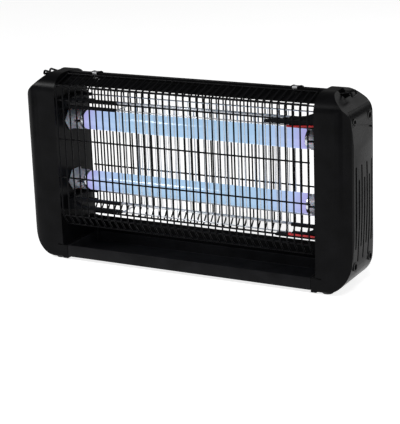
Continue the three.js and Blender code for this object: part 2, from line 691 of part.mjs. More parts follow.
// One polarity of one side: two level rods with every other upright wire.
function gridPlane(facing, out, low, high, first) {
  const y = facing * out;
  const from = armTip(-1, facing) - ROD_SEAT + GAP;
  const to = armTip(1, facing) + ROD_SEAT - GAP;
  const parts = [bar([from, y, low], [to, y, low], ROD_RADIUS, 8),
    bar([from, y, high], [to, y, high], ROD_RADIUS, 8)];
  for (let i = first; i < GRID_WIRES; i += 2) {
    const x = GRID_LEFT + i * GRID_PITCH;
    parts.push(centredBlock([GRID_WIRE, GRID_WIRE, high - low], [x, y, (low + high) / 2]));
  }
  return joined(parts);
}

// Joins the front and rear halves of one polarity.
function linkRod(out, z) {
  const x = GRID_LEFT - GRID_PITCH / 2;
  const reach = out - ROD_RADIUS - GAP;
  return bar([x, -reach, z], [x, reach, z], ROD_RADIUS, 8);
}

function prong(tip, wallX, y, z, side) {
  const seat = [tip + side * ROD_SEAT, y, z];
  const body = block([tip, y - PRONG_DEPTH / 2, z - PRONG_HEIGHT / 2],
    [wallX, y + PRONG_DEPTH / 2, z + PRONG_HEIGHT / 2]);
  const bore = bar([tip - side, y, z], seat, ROD_RADIUS + GAP, 8);
  return { body, bore };
}

// The front of the upper right arm: a wedge that rises to the wall, and a finger over the grid.
function upperRightWedge(wallX, faces) {
  const shoulderX = INNER_X - ARM_REAR_REACH;
  const shoulderZ = RETURN_HIGH + FINGER_HEIGHT;
  const fingerLow = LIVE_HIGH + LEAD_RADIUS + 2 * GAP;
  const tipHigh = fingerLow + FINGER_HEIGHT + RUNNING;
  const tipX = INNER_X - UPPER_FINGER_REACH;
  const ahead = [faces[0], -GRID_Y - ROD_RADIUS - RUNNING];
  const finger = outline([[tipX, fingerLow], [tipX, tipHigh], [shoulderX, shoulderZ],
    [wallX, RETURN_HIGH + WEDGE_RISE], [wallX, fingerLow]]);
  const root = outline([[ARM_RIGHT_TIP, LIVE_HIGH], [ARM_RIGHT_TIP, RETURN_HIGH],
    [shoulderX, shoulderZ], [wallX, RETURN_HIGH + WEDGE_RISE], [wallX, LIVE_HIGH]]);
  return [drawn(finger, 'XZ', ...ahead), drawn(root, 'XZ', ...faces)];
}

// The finger under the lower right arm.
function lowerRightFinger(wallX, faces) {
  const skin = RETURN_LOW - ROD_RADIUS - RUNNING;
  return [block([INNER_X - LOWER_FINGER_REACH, faces[0], skin], [wallX, faces[1], skin - FINGER_HEIGHT])];
}

function insulator(side, liveZ, returnZ) {
  const wallX = side * (INNER_X - GAP);
  const baseX = wallX - side * ARM_BASE;
  const outward = Math.sign(returnZ - liveZ);
  const innerY = GRID_Y - PRONG_DEPTH / 2;
  const outerY = LIVE_Y + PRONG_DEPTH / 2;
  const reach = PRONG_HEIGHT / 2;
  const front = [-outerY, -innerY];
  const parts = [block([baseX, -outerY, liveZ - outward * reach],
    [wallX, outerY, returnZ + outward * reach])];
  const bores = [];
  for (const facing of [-1, 1]) {
    for (const [y, z] of [[LIVE_Y, liveZ], [GRID_Y, returnZ]]) {
      const { body, bore } = prong(armTip(side, facing), wallX, facing * y, z, side);
      parts.push(body);
      bores.push(bore);
    }
  }
  const gusset = outline([
    [wallX, liveZ], [wallX, returnZ + outward * 2 * reach], [baseX - side * GUSSET, returnZ]]);
  parts.push(drawn(gusset, 'XZ', ...front));
  if (side > 0) {
    parts.push(...(outward > 0 ? upperRightWedge(wallX, front) : lowerRightFinger(wallX, front)));
  }
  return cut(joined(parts), bores);
}

function leadLevels() {
  return [LIVE_HIGH + PRONG_HEIGHT / 2, RETURN_LOW];
}

function leadY() {
  return -(LIVE_Y + PRONG_DEPTH / 2 + LEAD_RADIUS + RUNNING);
}

// A red lead from the supply in the right cap, through the wall and along the arm to its rod.
function highVoltageLead(wallZ, rodY, rodZ, sourceZ) {
  const rodX = (GRID_RIGHT + ARM_RIGHT_TIP) / 2;
  const y = leadY();
  const contact = -(rodY + ROD_RADIUS + 2 * GAP);
  const route = [
    [INNER_X + 14, y + 4, sourceZ], [INNER_X + 12, y + 1, (sourceZ + wallZ) / 2],
    [INNER_X + 8, y, wallZ], [INNER_X, y, wallZ], [INNER_X - 10, y, wallZ],
    [(INNER_X + rodX) / 2, y, (wallZ + rodZ) / 2], [rodX + 9, y, rodZ], [rodX + 1, y, rodZ],
    [rodX, contact - 1, rodZ], [rodX, contact, rodZ]];
  const path = new THREE.CatmullRomCurve3(route.map((point) => new THREE.Vector3(...point)));
  const section = new THREE.Shape().absarc(0, 0, LEAD_RADIUS, 0, 2 * Math.PI, false);
  return solid(new THREE.ExtrudeGeometry(section,
    { extrudePath: path, steps: 26, curveSegments: 4, bevelEnabled: false }));
}

// ---------------------------------------------------------------- electrical parts in the caps

function transformerCore() {
  const [x, y, z] = CORE_CENTRE;
  const [width, depth, height] = CORE;
  const windowY = (depth - 2 * CORE_LEG) / 2 - CORE_LEG / 2;
  const windows = [-1, 1].map((way) => centredBlock(
    [width + 2, windowY, height - CORE_LEG],
    [x, y + way * (CORE_LEG / 2 + windowY / 2), z]));
  return cut(centredBlock(CORE, CORE_CENTRE), windows);
}

function transformerCoil() {
  const [x, y, z] = CORE_CENTRE;
  const [width, depth, height] = CORE;
  const room = (depth - 3 * CORE_LEG) / 2;
  const tall = height - CORE_LEG - 2 * GAP;
  const outer = centredBlock([width + COIL_WALL, CORE_LEG + 2 * (room - GAP), tall], [x, y, z]);
  const inner = centredBlock([width + 2 * GAP, CORE_LEG + 2 * GAP, height], [x, y, z]);
  return outer.subtract(inner);
}

function circuitBoard() {
  return centredBlock(BOARD, BOARD_CENTRE);
}

function storageCapacitor() {
  const x = BOARD_CENTRE[0] + BOARD[0] / 2 + GAP + CAPACITOR[0] / 2;
  return centredBlock(CAPACITOR, [x, BOARD_CENTRE[1], BOARD_CENTRE[2]]);
}

function lampBallast() {
  const [x, y, z] = BALLAST_CENTRE;
  const can = centredBlock(BALLAST, BALLAST_CENTRE);
  const tab = centredBlock([PAN_SHEET, BALLAST[1], BALLAST[2] + 2 * CORE_LEG],
    [x + BALLAST[0] / 2 - PAN_SHEET / 2, y, z]);
  return can.add(tab);
}

function switchBody() {
  const [width, depth, height] = SWITCH;
  const floor = HALF_DEPTH - ENTRY[1];
  const rim = centredBlock([width + 2 * SWITCH_RIM, SWITCH_RIM, height + 2 * SWITCH_RIM],
    [ENTRY_X, floor + GAP + SWITCH_RIM / 2, SWITCH_Z]);
  const can = block([ENTRY_X - width / 2, floor + GAP + 1, SWITCH_Z - height / 2],
    [ENTRY_X + width / 2, floor - depth, SWITCH_Z + height / 2]);
  const well = block(
    [ENTRY_X - width / 2 + SWITCH_RIM, floor - depth / 2, SWITCH_Z - height / 2 + SWITCH_RIM],
    [ENTRY_X + width / 2 - SWITCH_RIM, floor + depth, SWITCH_Z + height / 2 - SWITCH_RIM]);
  return rim.add(can).subtract(well);
}

function rockerPivot() {
  return [ENTRY_X, HALF_DEPTH - ENTRY[1] - SWITCH_RIM, SWITCH_Z];
}

// The rocker's face is a shallow V, pressed at one end at rest.
function switchRocker() {
  const [, pivotY, pivotZ] = rockerPivot();
  const half = SWITCH[2] / 2 - SWITCH_RIM - RUNNING - 2 * GAP;
  const halfX = SWITCH[0] / 2 - SWITCH_RIM - GAP;
  const rise = half * Math.tan(THREE.MathUtils.degToRad(ROCKER_TILT));
  const face = pivotY + SWITCH_RIM + RUNNING;
  const shape = outline([
    [pivotY - 2, pivotZ - half + 2], [face, pivotZ - half], [face + GAP, pivotZ],
    [face + 2 * rise - GAP, pivotZ + half], [pivotY - 2, pivotZ + half - 2]]);
  return drawn(shape, 'YZ', ENTRY_X - halfX, ENTRY_X + halfX);
}

function cordGland() {
  const floor = HALF_DEPTH - ENTRY[1];
  const collar = bar([ENTRY_X, floor + GAP, GLAND_Z], [ENTRY_X, HALF_DEPTH - GAP, GLAND_Z], GLAND_RADIUS, 20);
  const neck = bar([ENTRY_X, floor - 2 * CAP_WALL, GLAND_Z], [ENTRY_X, floor + 1, GLAND_Z], GLAND_NECK, 20);
  const bore = bar([ENTRY_X, floor - 3 * CAP_WALL, GLAND_Z], [ENTRY_X, HALF_DEPTH + 1, GLAND_Z],
    GLAND_BORE, 16);
  return collar.add(neck).subtract(bore);
}

// ---------------------------------------------------------------- assembly

const FINISH = {
  casing: [0x0d0d0f, 0.35, 0],
  tray: [0x2a2a2d, 0.45, 0],
  wire: [0x0b0b0c, 0.4, 0],
  steel: [0xc9cbce, 0.25, 1],
  grid: [0x9a9ca2, 0.35, 1],
  glow: [0xbcd6ff, 0.2, 0],
  milky: [0xc7c9d2, 0.4, 0],
  insulator: [0x14171a, 0.5, 0],
  lead: [0xb4141c, 0.45, 0],
  core: [0x5b5c60, 0.5, 1],
  coil: [0xb06a2c, 0.4, 0],
  board: [0x1c6a3d, 0.5, 0],
  capacitor: [0x2b4c9c, 0.4, 0],
  rubber: [0x161616, 0.9, 0],
};

const zapper = new THREE.Group();

function place(name, body, finish) {
  const [color, roughness, metalness] = FINISH[finish];
  const material = new THREE.MeshStandardMaterial({ color, roughness, metalness });
  const mesh = new THREE.Mesh(geometryOf(body), material);
  mesh.name = name;
  zapper.add(mesh);
}

const SIDES = [['left', -1], ['right', 1]];
const LEVELS = [['upper', TUBE_HIGH, LIVE_HIGH, RETURN_HIGH], ['lower', TUBE_LOW, LIVE_LOW, RETURN_LOW]];
const FACES = [['front', -1], ['rear', 1]];

place('left_end_cap', endCap(-1), 'casing');
place('right_end_cap', rightCap(), 'casing');
for (const [sideName, side] of SIDES) {
  place(`${sideName}_side_panel`, sidePanel(side), 'casing');
  screwPlaces().forEach(([y, z], i) => {
    place(`${sideName}_panel_screw_${i + 1}`, panelScrew(side, y, z), 'steel');
  });
  place(`${sideName}_hanging_ring`, hangingRing(side), 'casing');
  place(`${sideName}_guard_clip`, guardClip(side * CLIP_X), 'steel');
  place(`${sideName}_clip_pin`, clipPin(side * CLIP_X), 'wire');
  for (const [faceName, facing] of FACES) {
    place(`${sideName}_${faceName}_foot`, foot(side, facing), 'rubber');
  }
  for (const [levelName, tubeZ, liveZ, returnZ] of LEVELS) {
    place(`${sideName}_${levelName}_lampholder`, lampholder(side, tubeZ), 'milky');
    place(`${sideName}_${levelName}_tube_end`, tubeEnd(side, tubeZ), 'steel');
    place(`${sideName}_${levelName}_insulator`, insulator(side, liveZ, returnZ), 'insulator');
  }
}
place('top_rail', topRail(), 'casing');
place('base_pan', basePan(), 'casing');
place('catch_tray', catchTray(), 'tray');
for (const [levelName, tubeZ] of LEVELS) {
  place(`${levelName}_lamp_tube`, lampTube(tubeZ), 'glow');
}
for (const [faceName, facing] of FACES) {
  place(`${faceName}_guard`, guard(facing), 'wire');
  place(`${faceName}_live_grid`, gridPlane(facing, LIVE_Y, LIVE_LOW, LIVE_HIGH, 0), 'grid');
  place(`${faceName}_return_grid`, gridPlane(facing, GRID_Y, RETURN_LOW, RETURN_HIGH, 1), 'grid');
}
place('live_link_rod', linkRod(LIVE_Y, LIVE_HIGH), 'grid');
place('return_link_rod', linkRod(GRID_Y, RETURN_LOW), 'grid');
const [liveWallZ, returnWallZ] = leadLevels();
place('live_lead', highVoltageLead(liveWallZ, LIVE_Y, LIVE_HIGH, CORE_Z + CORE[2]), 'lead');
place('return_lead', highVoltageLead(returnWallZ, GRID_Y, RETURN_LOW, CORE_Z - CORE[2] / 2), 'lead');
place('transformer_core', transformerCore(), 'core');
place('transformer_coil', transformerCoil(), 'coil');
place('circuit_board', circuitBoard(), 'board');
place('storage_capacitor', storageCapacitor(), 'capacitor');
place('lamp_ballast', lampBallast(), 'core');
place('power_switch_body', switchBody(), 'casing');
place('power_switch_rocker', switchRocker(), 'insulator');
place('cord_gland', cordGland(), 'rubber');

export default zapper;
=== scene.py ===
"""Looks of the electric bug zapper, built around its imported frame.

Every object is in metres, in the frame's own axes: X along the width, -Y out of the front guard, Z up.
"""

from __future__ import annotations

import json
import logging
import math
from dataclasses import dataclass, field
from enum import Enum
from typing import Iterable, Sequence

import bpy
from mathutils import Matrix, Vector

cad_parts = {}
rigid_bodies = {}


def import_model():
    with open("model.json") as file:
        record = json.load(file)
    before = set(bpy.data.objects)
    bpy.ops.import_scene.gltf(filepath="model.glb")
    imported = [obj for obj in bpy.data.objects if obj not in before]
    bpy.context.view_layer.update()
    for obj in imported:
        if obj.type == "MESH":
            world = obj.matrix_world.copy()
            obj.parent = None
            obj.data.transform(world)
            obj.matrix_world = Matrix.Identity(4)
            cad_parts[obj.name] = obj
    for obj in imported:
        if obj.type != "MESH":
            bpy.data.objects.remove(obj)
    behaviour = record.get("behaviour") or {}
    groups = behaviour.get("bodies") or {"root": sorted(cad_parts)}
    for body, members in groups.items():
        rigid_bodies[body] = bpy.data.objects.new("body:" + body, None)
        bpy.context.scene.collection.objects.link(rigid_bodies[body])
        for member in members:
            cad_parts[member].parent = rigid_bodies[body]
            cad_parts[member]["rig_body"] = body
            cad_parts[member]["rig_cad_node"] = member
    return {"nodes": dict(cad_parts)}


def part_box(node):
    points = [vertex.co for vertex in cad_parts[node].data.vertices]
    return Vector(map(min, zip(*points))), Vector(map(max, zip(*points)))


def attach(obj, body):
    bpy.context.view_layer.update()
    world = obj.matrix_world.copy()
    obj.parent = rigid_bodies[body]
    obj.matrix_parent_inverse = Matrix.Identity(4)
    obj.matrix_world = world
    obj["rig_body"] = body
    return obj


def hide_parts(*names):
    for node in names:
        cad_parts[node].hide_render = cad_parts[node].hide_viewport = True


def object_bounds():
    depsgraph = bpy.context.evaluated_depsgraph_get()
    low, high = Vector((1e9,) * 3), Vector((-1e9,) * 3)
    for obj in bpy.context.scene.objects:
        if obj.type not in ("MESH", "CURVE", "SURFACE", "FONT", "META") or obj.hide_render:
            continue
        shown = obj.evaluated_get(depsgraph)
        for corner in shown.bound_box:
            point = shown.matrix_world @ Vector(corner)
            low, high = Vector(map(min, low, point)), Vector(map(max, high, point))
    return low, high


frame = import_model()
CAD_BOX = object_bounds()

LOG = logging.getLogger("zapper")
MM = 0.001
# How near two vertices of a shell are before they merge, and the angles that shells and wires shade across.
SHELL_MERGE = 2e-6
SHELL_ANGLE = 32.0
WIRE_ANGLE = 60.0
# How far a cutter reaches past the skin it cuts, and the gap left between two fitted pieces.
PAST = 5.0 * MM
SEAM = 0.3 * MM
# Where most of a noise's values lie.
NOISE_RANGE = (0.3, 0.7)

Body = bpy.types.Object
Socket = bpy.types.NodeSocket
Point = tuple[float, float, float]
Flat = tuple[float, float]
Place = tuple[float, ...]
Colour = tuple[float, float, float]


class Side(Enum):
    """Which end of the object a piece belongs to, as its sign along X."""

    LEFT = -1
    RIGHT = 1

    @property
    def word(self) -> str:
        """The side's name as the frame's nodes spell it."""
        return self.name.lower()


class Facing(Enum):
    """Which face of the object a piece belongs to, as its sign along Y."""

    FRONT = -1
    REAR = 1

    @property
    def word(self) -> str:
        """The face's name as the frame's nodes spell it."""
        return self.name.lower()


class Level(Enum):
    """Upper or lower lamp."""

    UPPER = "upper"
    LOWER = "lower"


class Plane(Enum):
    """The plane that an outline is drawn in."""

    XY = "xy"
    YZ = "yz"
    XZ = "xz"

    def point(self, u: float, v: float, w: float) -> Point:
        """Puts an outline's point, and its height off the plane, into X, Y and Z."""
        places = {Plane.XY: (u, v, w), Plane.YZ: (w, u, v), Plane.XZ: (u, w, v)}
        return places[self]


class Cut(Enum):
    """What a second solid does to the first."""

    REMOVE = "DIFFERENCE"
    ADD = "UNION"
    COMMON = "INTERSECT"


class Bench:
    """The hand tools that every maker in this file uses."""

    @staticmethod
    def only(body: Body) -> None:
        """Leaves one object selected and active.

        Args:
            body: The object to work on.
        """
        bpy.ops.object.select_all(action="DESELECT")
        body.select_set(True)
        bpy.context.view_layer.objects.active = body

    @staticmethod
    def settle(body: Body) -> Body:
        """Moves an object's place and turn into its mesh, and returns it."""
        Bench.only(body)
        bpy.ops.object.transform_apply(location=True, rotation=True, scale=True)
        return body

    @staticmethod
    def slab(name: str, outline: Sequence[Flat], plane: Plane, low: float, high: float) -> Body:
        """Draws a flat outline out into a solid.

        Args:
            name: The new object's name.
            outline: The outline's points, in order.
            plane: The plane that the outline lies in.
            low: Where the solid starts along the third axis.
            high: Where it ends.

        Returns:
            The closed solid.
        """
        bpy.ops.mesh.primitive_circle_add(vertices=len(outline), radius=1.0, fill_type="NGON")
        body = bpy.context.object
        body.name = name
        for vertex, (u, v) in zip(body.data.vertices, outline):
            vertex.co = plane.point(u, v, low)
        bpy.ops.object.mode_set(mode="EDIT")
        bpy.ops.mesh.select_all(action="SELECT")
        travel = plane.point(0.0, 0.0, high - low)
        bpy.ops.mesh.extrude_region_move(TRANSFORM_OT_translate={"value": travel})
        bpy.ops.mesh.select_all(action="SELECT")
        bpy.ops.mesh.normals_make_consistent(inside=False)
        bpy.ops.object.mode_set(mode="OBJECT")
        return body

    @staticmethod
    def block(name: str, low: Point, high: Point) -> Body:
        """Adds a box between two corners.

        Args:
            name: The new object's name.
            low: One corner.
            high: The opposite corner, in any order.

        Returns:
            The box.
        """
        centre = [(a + b) / 2 for a, b in zip(low, high)]
        size = [abs(b - a) for a, b in zip(low, high)]
        bpy.ops.mesh.primitive_cube_add(size=1.0, location=centre, scale=size)
        body = bpy.context.object
        body.name = name
        return Bench.settle(body)

    @staticmethod
    def rod(name: str, start: Point, end: Point, radius: float, sides: int = 32) -> Body:
        """Adds a straight round bar.

        Args:
            name: The new object's name.
            start: The centre of one end.
            end: The centre of the other end.
            radius: The bar's radius.
            sides: How many sides stand for round.

        Returns:
            The bar.
        """
        along = Vector(end) - Vector(start)
        middle = (Vector(end) + Vector(start)) / 2
        bpy.ops.mesh.primitive_cylinder_add(
            vertices=sides, radius=radius, depth=along.length, location=middle,
            rotation=along.to_track_quat("Z", "Y").to_euler())
        body = bpy.context.object
        body.name = name
        return Bench.settle(body)

    @staticmethod
    def wire(name: str, route: Sequence[Point], radius: float, roundness: int = 2) -> Body:
        """Draws a round wire along a route.

        Args:
            name: The new object's name.
            route: The points that the wire's centre line passes through.
            radius: The wire's radius.
            roundness: The curve's bevel resolution; 2 gives eight sides.

        Returns:
            The wire as a closed mesh.
        """
        bpy.ops.curve.primitive_bezier_curve_add()
        body = bpy.context.object
        body.name = name
        curve = body.data
        curve.splines.clear()
        spline = curve.splines.new("POLY")
        spline.points.add(len(route) - 1)
        for point, place in zip(spline.points, route):
            point.co = (*place, 1.0)
        curve.dimensions = "3D"
        curve.bevel_depth = radius
        curve.bevel_resolution = roundness
        curve.use_fill_caps = True
        bpy.ops.object.convert(target="MESH")
        body = bpy.context.object
        Bench.merge(body)
        return body

    @staticmethod
    def merge(body: Body, distance: float = 1e-5) -> None:
        """Merges vertices that lie together and turns every face outwards.

        Args:
            body: The mesh object.
            distance: How near two vertices have to be.
        """
        Bench.only(body)
        bpy.ops.object.mode_set(mode="EDIT")
        bpy.ops.mesh.select_all(action="SELECT")
        bpy.ops.mesh.remove_doubles(threshold=distance)
        bpy.ops.mesh.normals_make_consistent(inside=False)
        bpy.ops.object.mode_set(mode="OBJECT")

    @staticmethod
    def array(body: Body, count: int, step: Point) -> None:
        """Repeats a mesh along a straight line.

        Args:
            body: The mesh object.
            count: How many there are in all.
            step: From one to the next.
        """
        modifier = body.modifiers.new("row", "ARRAY")
        modifier.count = count
        modifier.use_relative_offset = False
        modifier.use_constant_offset = True
        modifier.constant_offset_displace = step
        Bench.apply(body, modifier)

    @staticmethod
    def apply(body: Body, modifier: bpy.types.Modifier) -> None:
        """Applies one modifier."""
        Bench.only(body)
        bpy.ops.object.modifier_apply(modifier=modifier.name)

    @staticmethod
    def combine(body: Body, tool: Body, how: Cut) -> Body:
        """Cuts or joins one solid with another, which is used up.

        Args:
            body: The solid that stays.
            tool: The solid that is used up.
            how: What the tool does.

        Returns:
            The first solid.
        """
        modifier = body.modifiers.new("combine", "BOOLEAN")
        modifier.operation = how.value
        modifier.solver = "EXACT"
        modifier.object = tool
        Bench.apply(body, modifier)
        bpy.data.objects.remove(tool, do_unlink=True)
        return body

    @staticmethod
    def join(name: str, bodies: Sequence[Body]) -> Body:
        """Makes one object of several.

        Args:
            name: The joined object's name.
            bodies: The objects, the first of which stays.

        Returns:
            The joined object.
        """
        bpy.ops.object.select_all(action="DESELECT")
        for body in bodies:
            body.select_set(True)
        bpy.context.view_layer.objects.active = bodies[0]
        if len(bodies) > 1:
            bpy.ops.object.join()
        bodies[0].name = name
        return bodies[0]

    @staticmethod
    def bevel(body: Body, width: float, segments: int, angle: float = 40.0) -> None:
        """Rounds every edge sharper than an angle.

        Args:
            body: The mesh object.
            width: The bevel's width.
            segments: How many strips it has.
            angle: The least angle between two faces, in degrees.
        """
        modifier = body.modifiers.new("edges", "BEVEL")
        modifier.width = width
        modifier.segments = segments
        modifier.limit_method = "ANGLE"
        modifier.angle_limit = math.radians(angle)
        modifier.harden_normals = False
        Bench.apply(body, modifier)

    @staticmethod
    def smooth(body: Body, angle: float = 35.0) -> None:
        """Shades a mesh smooth except across edges sharper than an angle in degrees."""
        Bench.only(body)
        bpy.ops.object.shade_smooth_by_angle(angle=math.radians(angle))

    @staticmethod
    def rework(node: str, name: str, width: float, segments: int = 2) -> Body:
        """Takes a copy of a frame node, merges it and rounds its edges.

        Args:
            node: The frame node to copy.
            name: The new object's name.
            width: The edges' bevel width, or 0 to leave them.
            segments: How many strips the bevel has.

        Returns:
            The copy, as a mesh of its own.
        """
        source = frame["nodes"][node]
        bpy.ops.object.select_all(action="DESELECT")
        body = source.copy()
        body.data = source.data.copy()
        body.name = name
        body.parent = None
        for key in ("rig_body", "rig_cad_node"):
            del body[key]
        bpy.context.scene.collection.objects.link(body)
        Bench.merge(body)
        bpy.ops.object.mode_set(mode="EDIT")
        bpy.ops.mesh.select_all(action="SELECT")
        bpy.ops.mesh.dissolve_limited(angle_limit=math.radians(1.0))
        bpy.ops.object.mode_set(mode="OBJECT")
        if width > 0:
            Bench.bevel(body, width, segments)
        Bench.smooth(body)
        return body


def arc(centre: Flat, radii: Flat, start: float, end: float, steps: int) -> list[Flat]:
    """Points along part of an ellipse.

    Args:
        centre: The ellipse's centre.
        radii: Its two half axes.
        start: The first angle, in degrees.
        end: The last angle.
        steps: How many stretches.

    Returns:
        The points, both ends included.
    """
    angles = [math.radians(start + (end - start) * i / steps) for i in range(steps + 1)]
    return [(centre[0] + radii[0] * math.cos(a), centre[1] + radii[1] * math.sin(a)) for a in angles]


def bend(start: Place, control: Place, end: Place, steps: int) -> list[Place]:
    """Points along a quadratic curve, both ends included."""
    points = []
    for i in range(steps + 1):
        t = i / steps
        weights = ((1 - t) ** 2, 2 * t * (1 - t), t * t)
        axes = zip(start, control, end)
        points.append(tuple(sum(w * value for w, value in zip(weights, axis)) for axis in axes))
    return points


def toward(start: Place, end: Place, distance: float) -> Place:
    """The point at a distance from one place towards another."""
    share = distance / math.dist(start, end)
    return tuple(a + (b - a) * share for a, b in zip(start, end))


def rounded(corners: Sequence[Place], radius: float, steps: int = 5) -> list[Place]:
    """A line through corners, each turned into a curve.

    Args:
        corners: The line's corners, with its two ends.
        radius: How far from a corner its curve starts, less where its neighbours are near.
        steps: How many stretches a curve has.

    Returns:
        The line's points.
    """
    points = [corners[0]]
    for before, corner, after in zip(corners, corners[1:], corners[2:]):
        room = 0.45 * min(math.dist(before, corner), math.dist(corner, after))
        start, end = (toward(corner, other, min(radius, room)) for other in (before, after))
        points += bend(start, corner, end, steps)
    return [*points, corners[-1]]


def tidy(points: Sequence[Flat]) -> list[Flat]:
    """Drops points that lie on the one before them."""
    kept: list[Flat] = []
    for point in points:
        if not kept or math.dist(point, kept[-1]) > 1e-7:
            kept.append(point)
    if math.dist(kept[0], kept[-1]) < 1e-7:
        kept.pop()
    return kept


# -------------------- finishes


class Nodes:
    """A material's node tree, with the few links that every finish here needs."""

    def __init__(self, name: str) -> None:
        """Starts a new material.

        Args:
            name: The material's name.
        """
        self.material = bpy.data.materials.new(name)
        self.material.use_nodes = True
        self.tree = self.material.node_tree
        self.shader = self.tree.nodes["Principled BSDF"]
        self.place = self.tree.nodes.new("ShaderNodeTexCoord")

    def noise(self, scale: float, detail: float = 3.0, stretch: Point = (1, 1, 1)) -> Socket:
        """Adds a noise on object coordinates.

        Args:
            scale: Its scale.
            detail: Its detail.
            stretch: How the coordinates are scaled along each axis first.

        Returns:
            The noise's value.
        """
        mapping = self.tree.nodes.new("ShaderNodeMapping")
        mapping.inputs["Scale"].default_value = stretch
        noise = self.tree.nodes.new("ShaderNodeTexNoise")
        noise.inputs["Scale"].default_value = scale
        noise.inputs["Detail"].default_value = detail
        self.tree.links.new(self.place.outputs["Object"], mapping.inputs["Vector"])
        self.tree.links.new(mapping.outputs["Vector"], noise.inputs["Vector"])
        return noise.outputs["Fac"]

    def ramp(self, value: Socket, stops: Sequence[tuple[float, Colour]]) -> Socket:
        """Turns a value into a colour.

        Args:
            value: The value.
            stops: Where each colour stands.

        Returns:
            The colour.
        """
        ramp = self.tree.nodes.new("ShaderNodeValToRGB")
        elements = ramp.color_ramp.elements
        while len(elements) < len(stops):
            elements.new(0.5)
        for element, (position, colour) in zip(elements, stops):
            element.position = position
            element.color = (*colour, 1.0)
        self.tree.links.new(value, ramp.inputs["Fac"])
        return ramp.outputs["Color"]

    def blend(self, value: Socket, dark: Colour, light: Colour) -> Socket:
        """Maps a noise's usual range onto two colours."""
        return self.ramp(value, list(zip(NOISE_RANGE, (dark, light))))

    def between(self, value: Socket, low: float, high: float) -> Socket:
        """Maps a noise's usual range onto two values."""
        node = self.tree.nodes.new("ShaderNodeMapRange")
        node.inputs["From Min"].default_value = NOISE_RANGE[0]
        node.inputs["From Max"].default_value = NOISE_RANGE[1]
        node.inputs["To Min"].default_value = low
        node.inputs["To Max"].default_value = high
        self.tree.links.new(value, node.inputs["Value"])
        return node.outputs["Result"]

    def bump(self, value: Socket, depth: float, strength: float = 1.0) -> None:
        """Raises and lowers the surface by a value.

        Args:
            value: The height.
            depth: Its depth in metres.
            strength: How much of it counts.
        """
        node = self.tree.nodes.new("ShaderNodeBump")
        node.inputs["Distance"].default_value = depth
        node.inputs["Strength"].default_value = strength
        self.tree.links.new(value, node.inputs["Height"])
        self.tree.links.new(node.outputs["Normal"], self.shader.inputs["Normal"])

    def feed(self, socket: str, value: Socket) -> None:
        """Links a value to one of the shader's inputs."""
        self.tree.links.new(value, self.shader.inputs[socket])

    def put(self, **values: float) -> None:
        """Sets the shader's own inputs, with underscores for spaces."""
        for name, value in values.items():
            self.shader.inputs[name.replace("_", " ")].default_value = value


@dataclass(frozen=True)
class Moulding:
    """Injection-moulded plastic: a fine grain, soft changes of gloss and a little change of shade."""

    slot: str
    dark: Colour
    light: Colour
    roughness: float
    spread: float = 0.06
    grain: float = 1400.0
    depth: float = 0.00004
    gloss: float = 0.05
    shade_scale: float = 45.0
    sheen_scale: float = 28.0

    def material(self) -> bpy.types.Material:
        """Builds the material."""
        nodes = Nodes(f"{self.slot}_moulding")
        nodes.feed("Base Color", nodes.blend(nodes.noise(self.shade_scale), self.dark, self.light))
        low, high = self.roughness - self.spread, self.roughness + self.spread
        nodes.feed("Roughness", nodes.between(nodes.noise(self.sheen_scale), low, high))
        nodes.bump(nodes.noise(self.grain, 2.0), self.depth)
        nodes.put(Specular_IOR_Level=self.gloss)
        return nodes.material


@dataclass(frozen=True)
class Metal:
    """Bare or plated metal with fine lines drawn along one axis."""

    slot: str
    dark: Colour
    light: Colour
    roughness: float
    lines: Point = (1, 1, 1)
    depth: float = 0.00002
    line_scale: float = 700.0

    def material(self) -> bpy.types.Material:
        """Builds the material."""
        nodes = Nodes(f"{self.slot}_metal")
        streaks = nodes.noise(self.line_scale, 3.0, self.lines)
        nodes.feed("Base Color", nodes.blend(streaks, self.dark, self.light))
        nodes.feed("Roughness", nodes.between(streaks, self.roughness - 0.06, self.roughness + 0.08))
        nodes.bump(streaks, self.depth)
        nodes.put(Metallic=1.0)
        return nodes.material


@dataclass(frozen=True)
class LampGlow:
    """Phosphor glowing inside glass: pale blue along the tube, lilac and dimmer towards its ends."""

    slot: str = "glow"
    glass: Colour = (0.03, 0.035, 0.05)
    middle: Colour = (0.38, 0.57, 0.79)
    near_end: Colour = (0.41, 0.53, 0.82)
    end: Colour = (0.40, 0.38, 0.74)
    strength: float = 1.0
    half_length: float = 0.16

    def material(self) -> bpy.types.Material:
        """Builds the material."""
        nodes = Nodes("glow_phosphor")
        split = nodes.tree.nodes.new("ShaderNodeSeparateXYZ")
        nodes.tree.links.new(nodes.place.outputs["Object"], split.inputs["Vector"])
        outward = nodes.tree.nodes.new("ShaderNodeMath")
        outward.operation = "ABSOLUTE"
        nodes.tree.links.new(split.outputs["X"], outward.inputs[0])
        reach = nodes.tree.nodes.new("ShaderNodeMath")
        reach.operation = "DIVIDE"
        reach.inputs[1].default_value = self.half_length
        nodes.tree.links.new(outward.outputs[0], reach.inputs[0])
        stops = [(0.0, self.middle), (0.6, self.middle), (0.86, self.near_end), (1.0, self.end)]
        colour = nodes.ramp(reach.outputs[0], stops)
        nodes.shader.inputs["Base Color"].default_value = (*self.glass, 1.0)
        nodes.feed("Emission Color", colour)
        nodes.feed("Roughness", nodes.between(nodes.noise(60.0), 0.08, 0.16))
        nodes.put(Emission_Strength=self.strength)
        return nodes.material


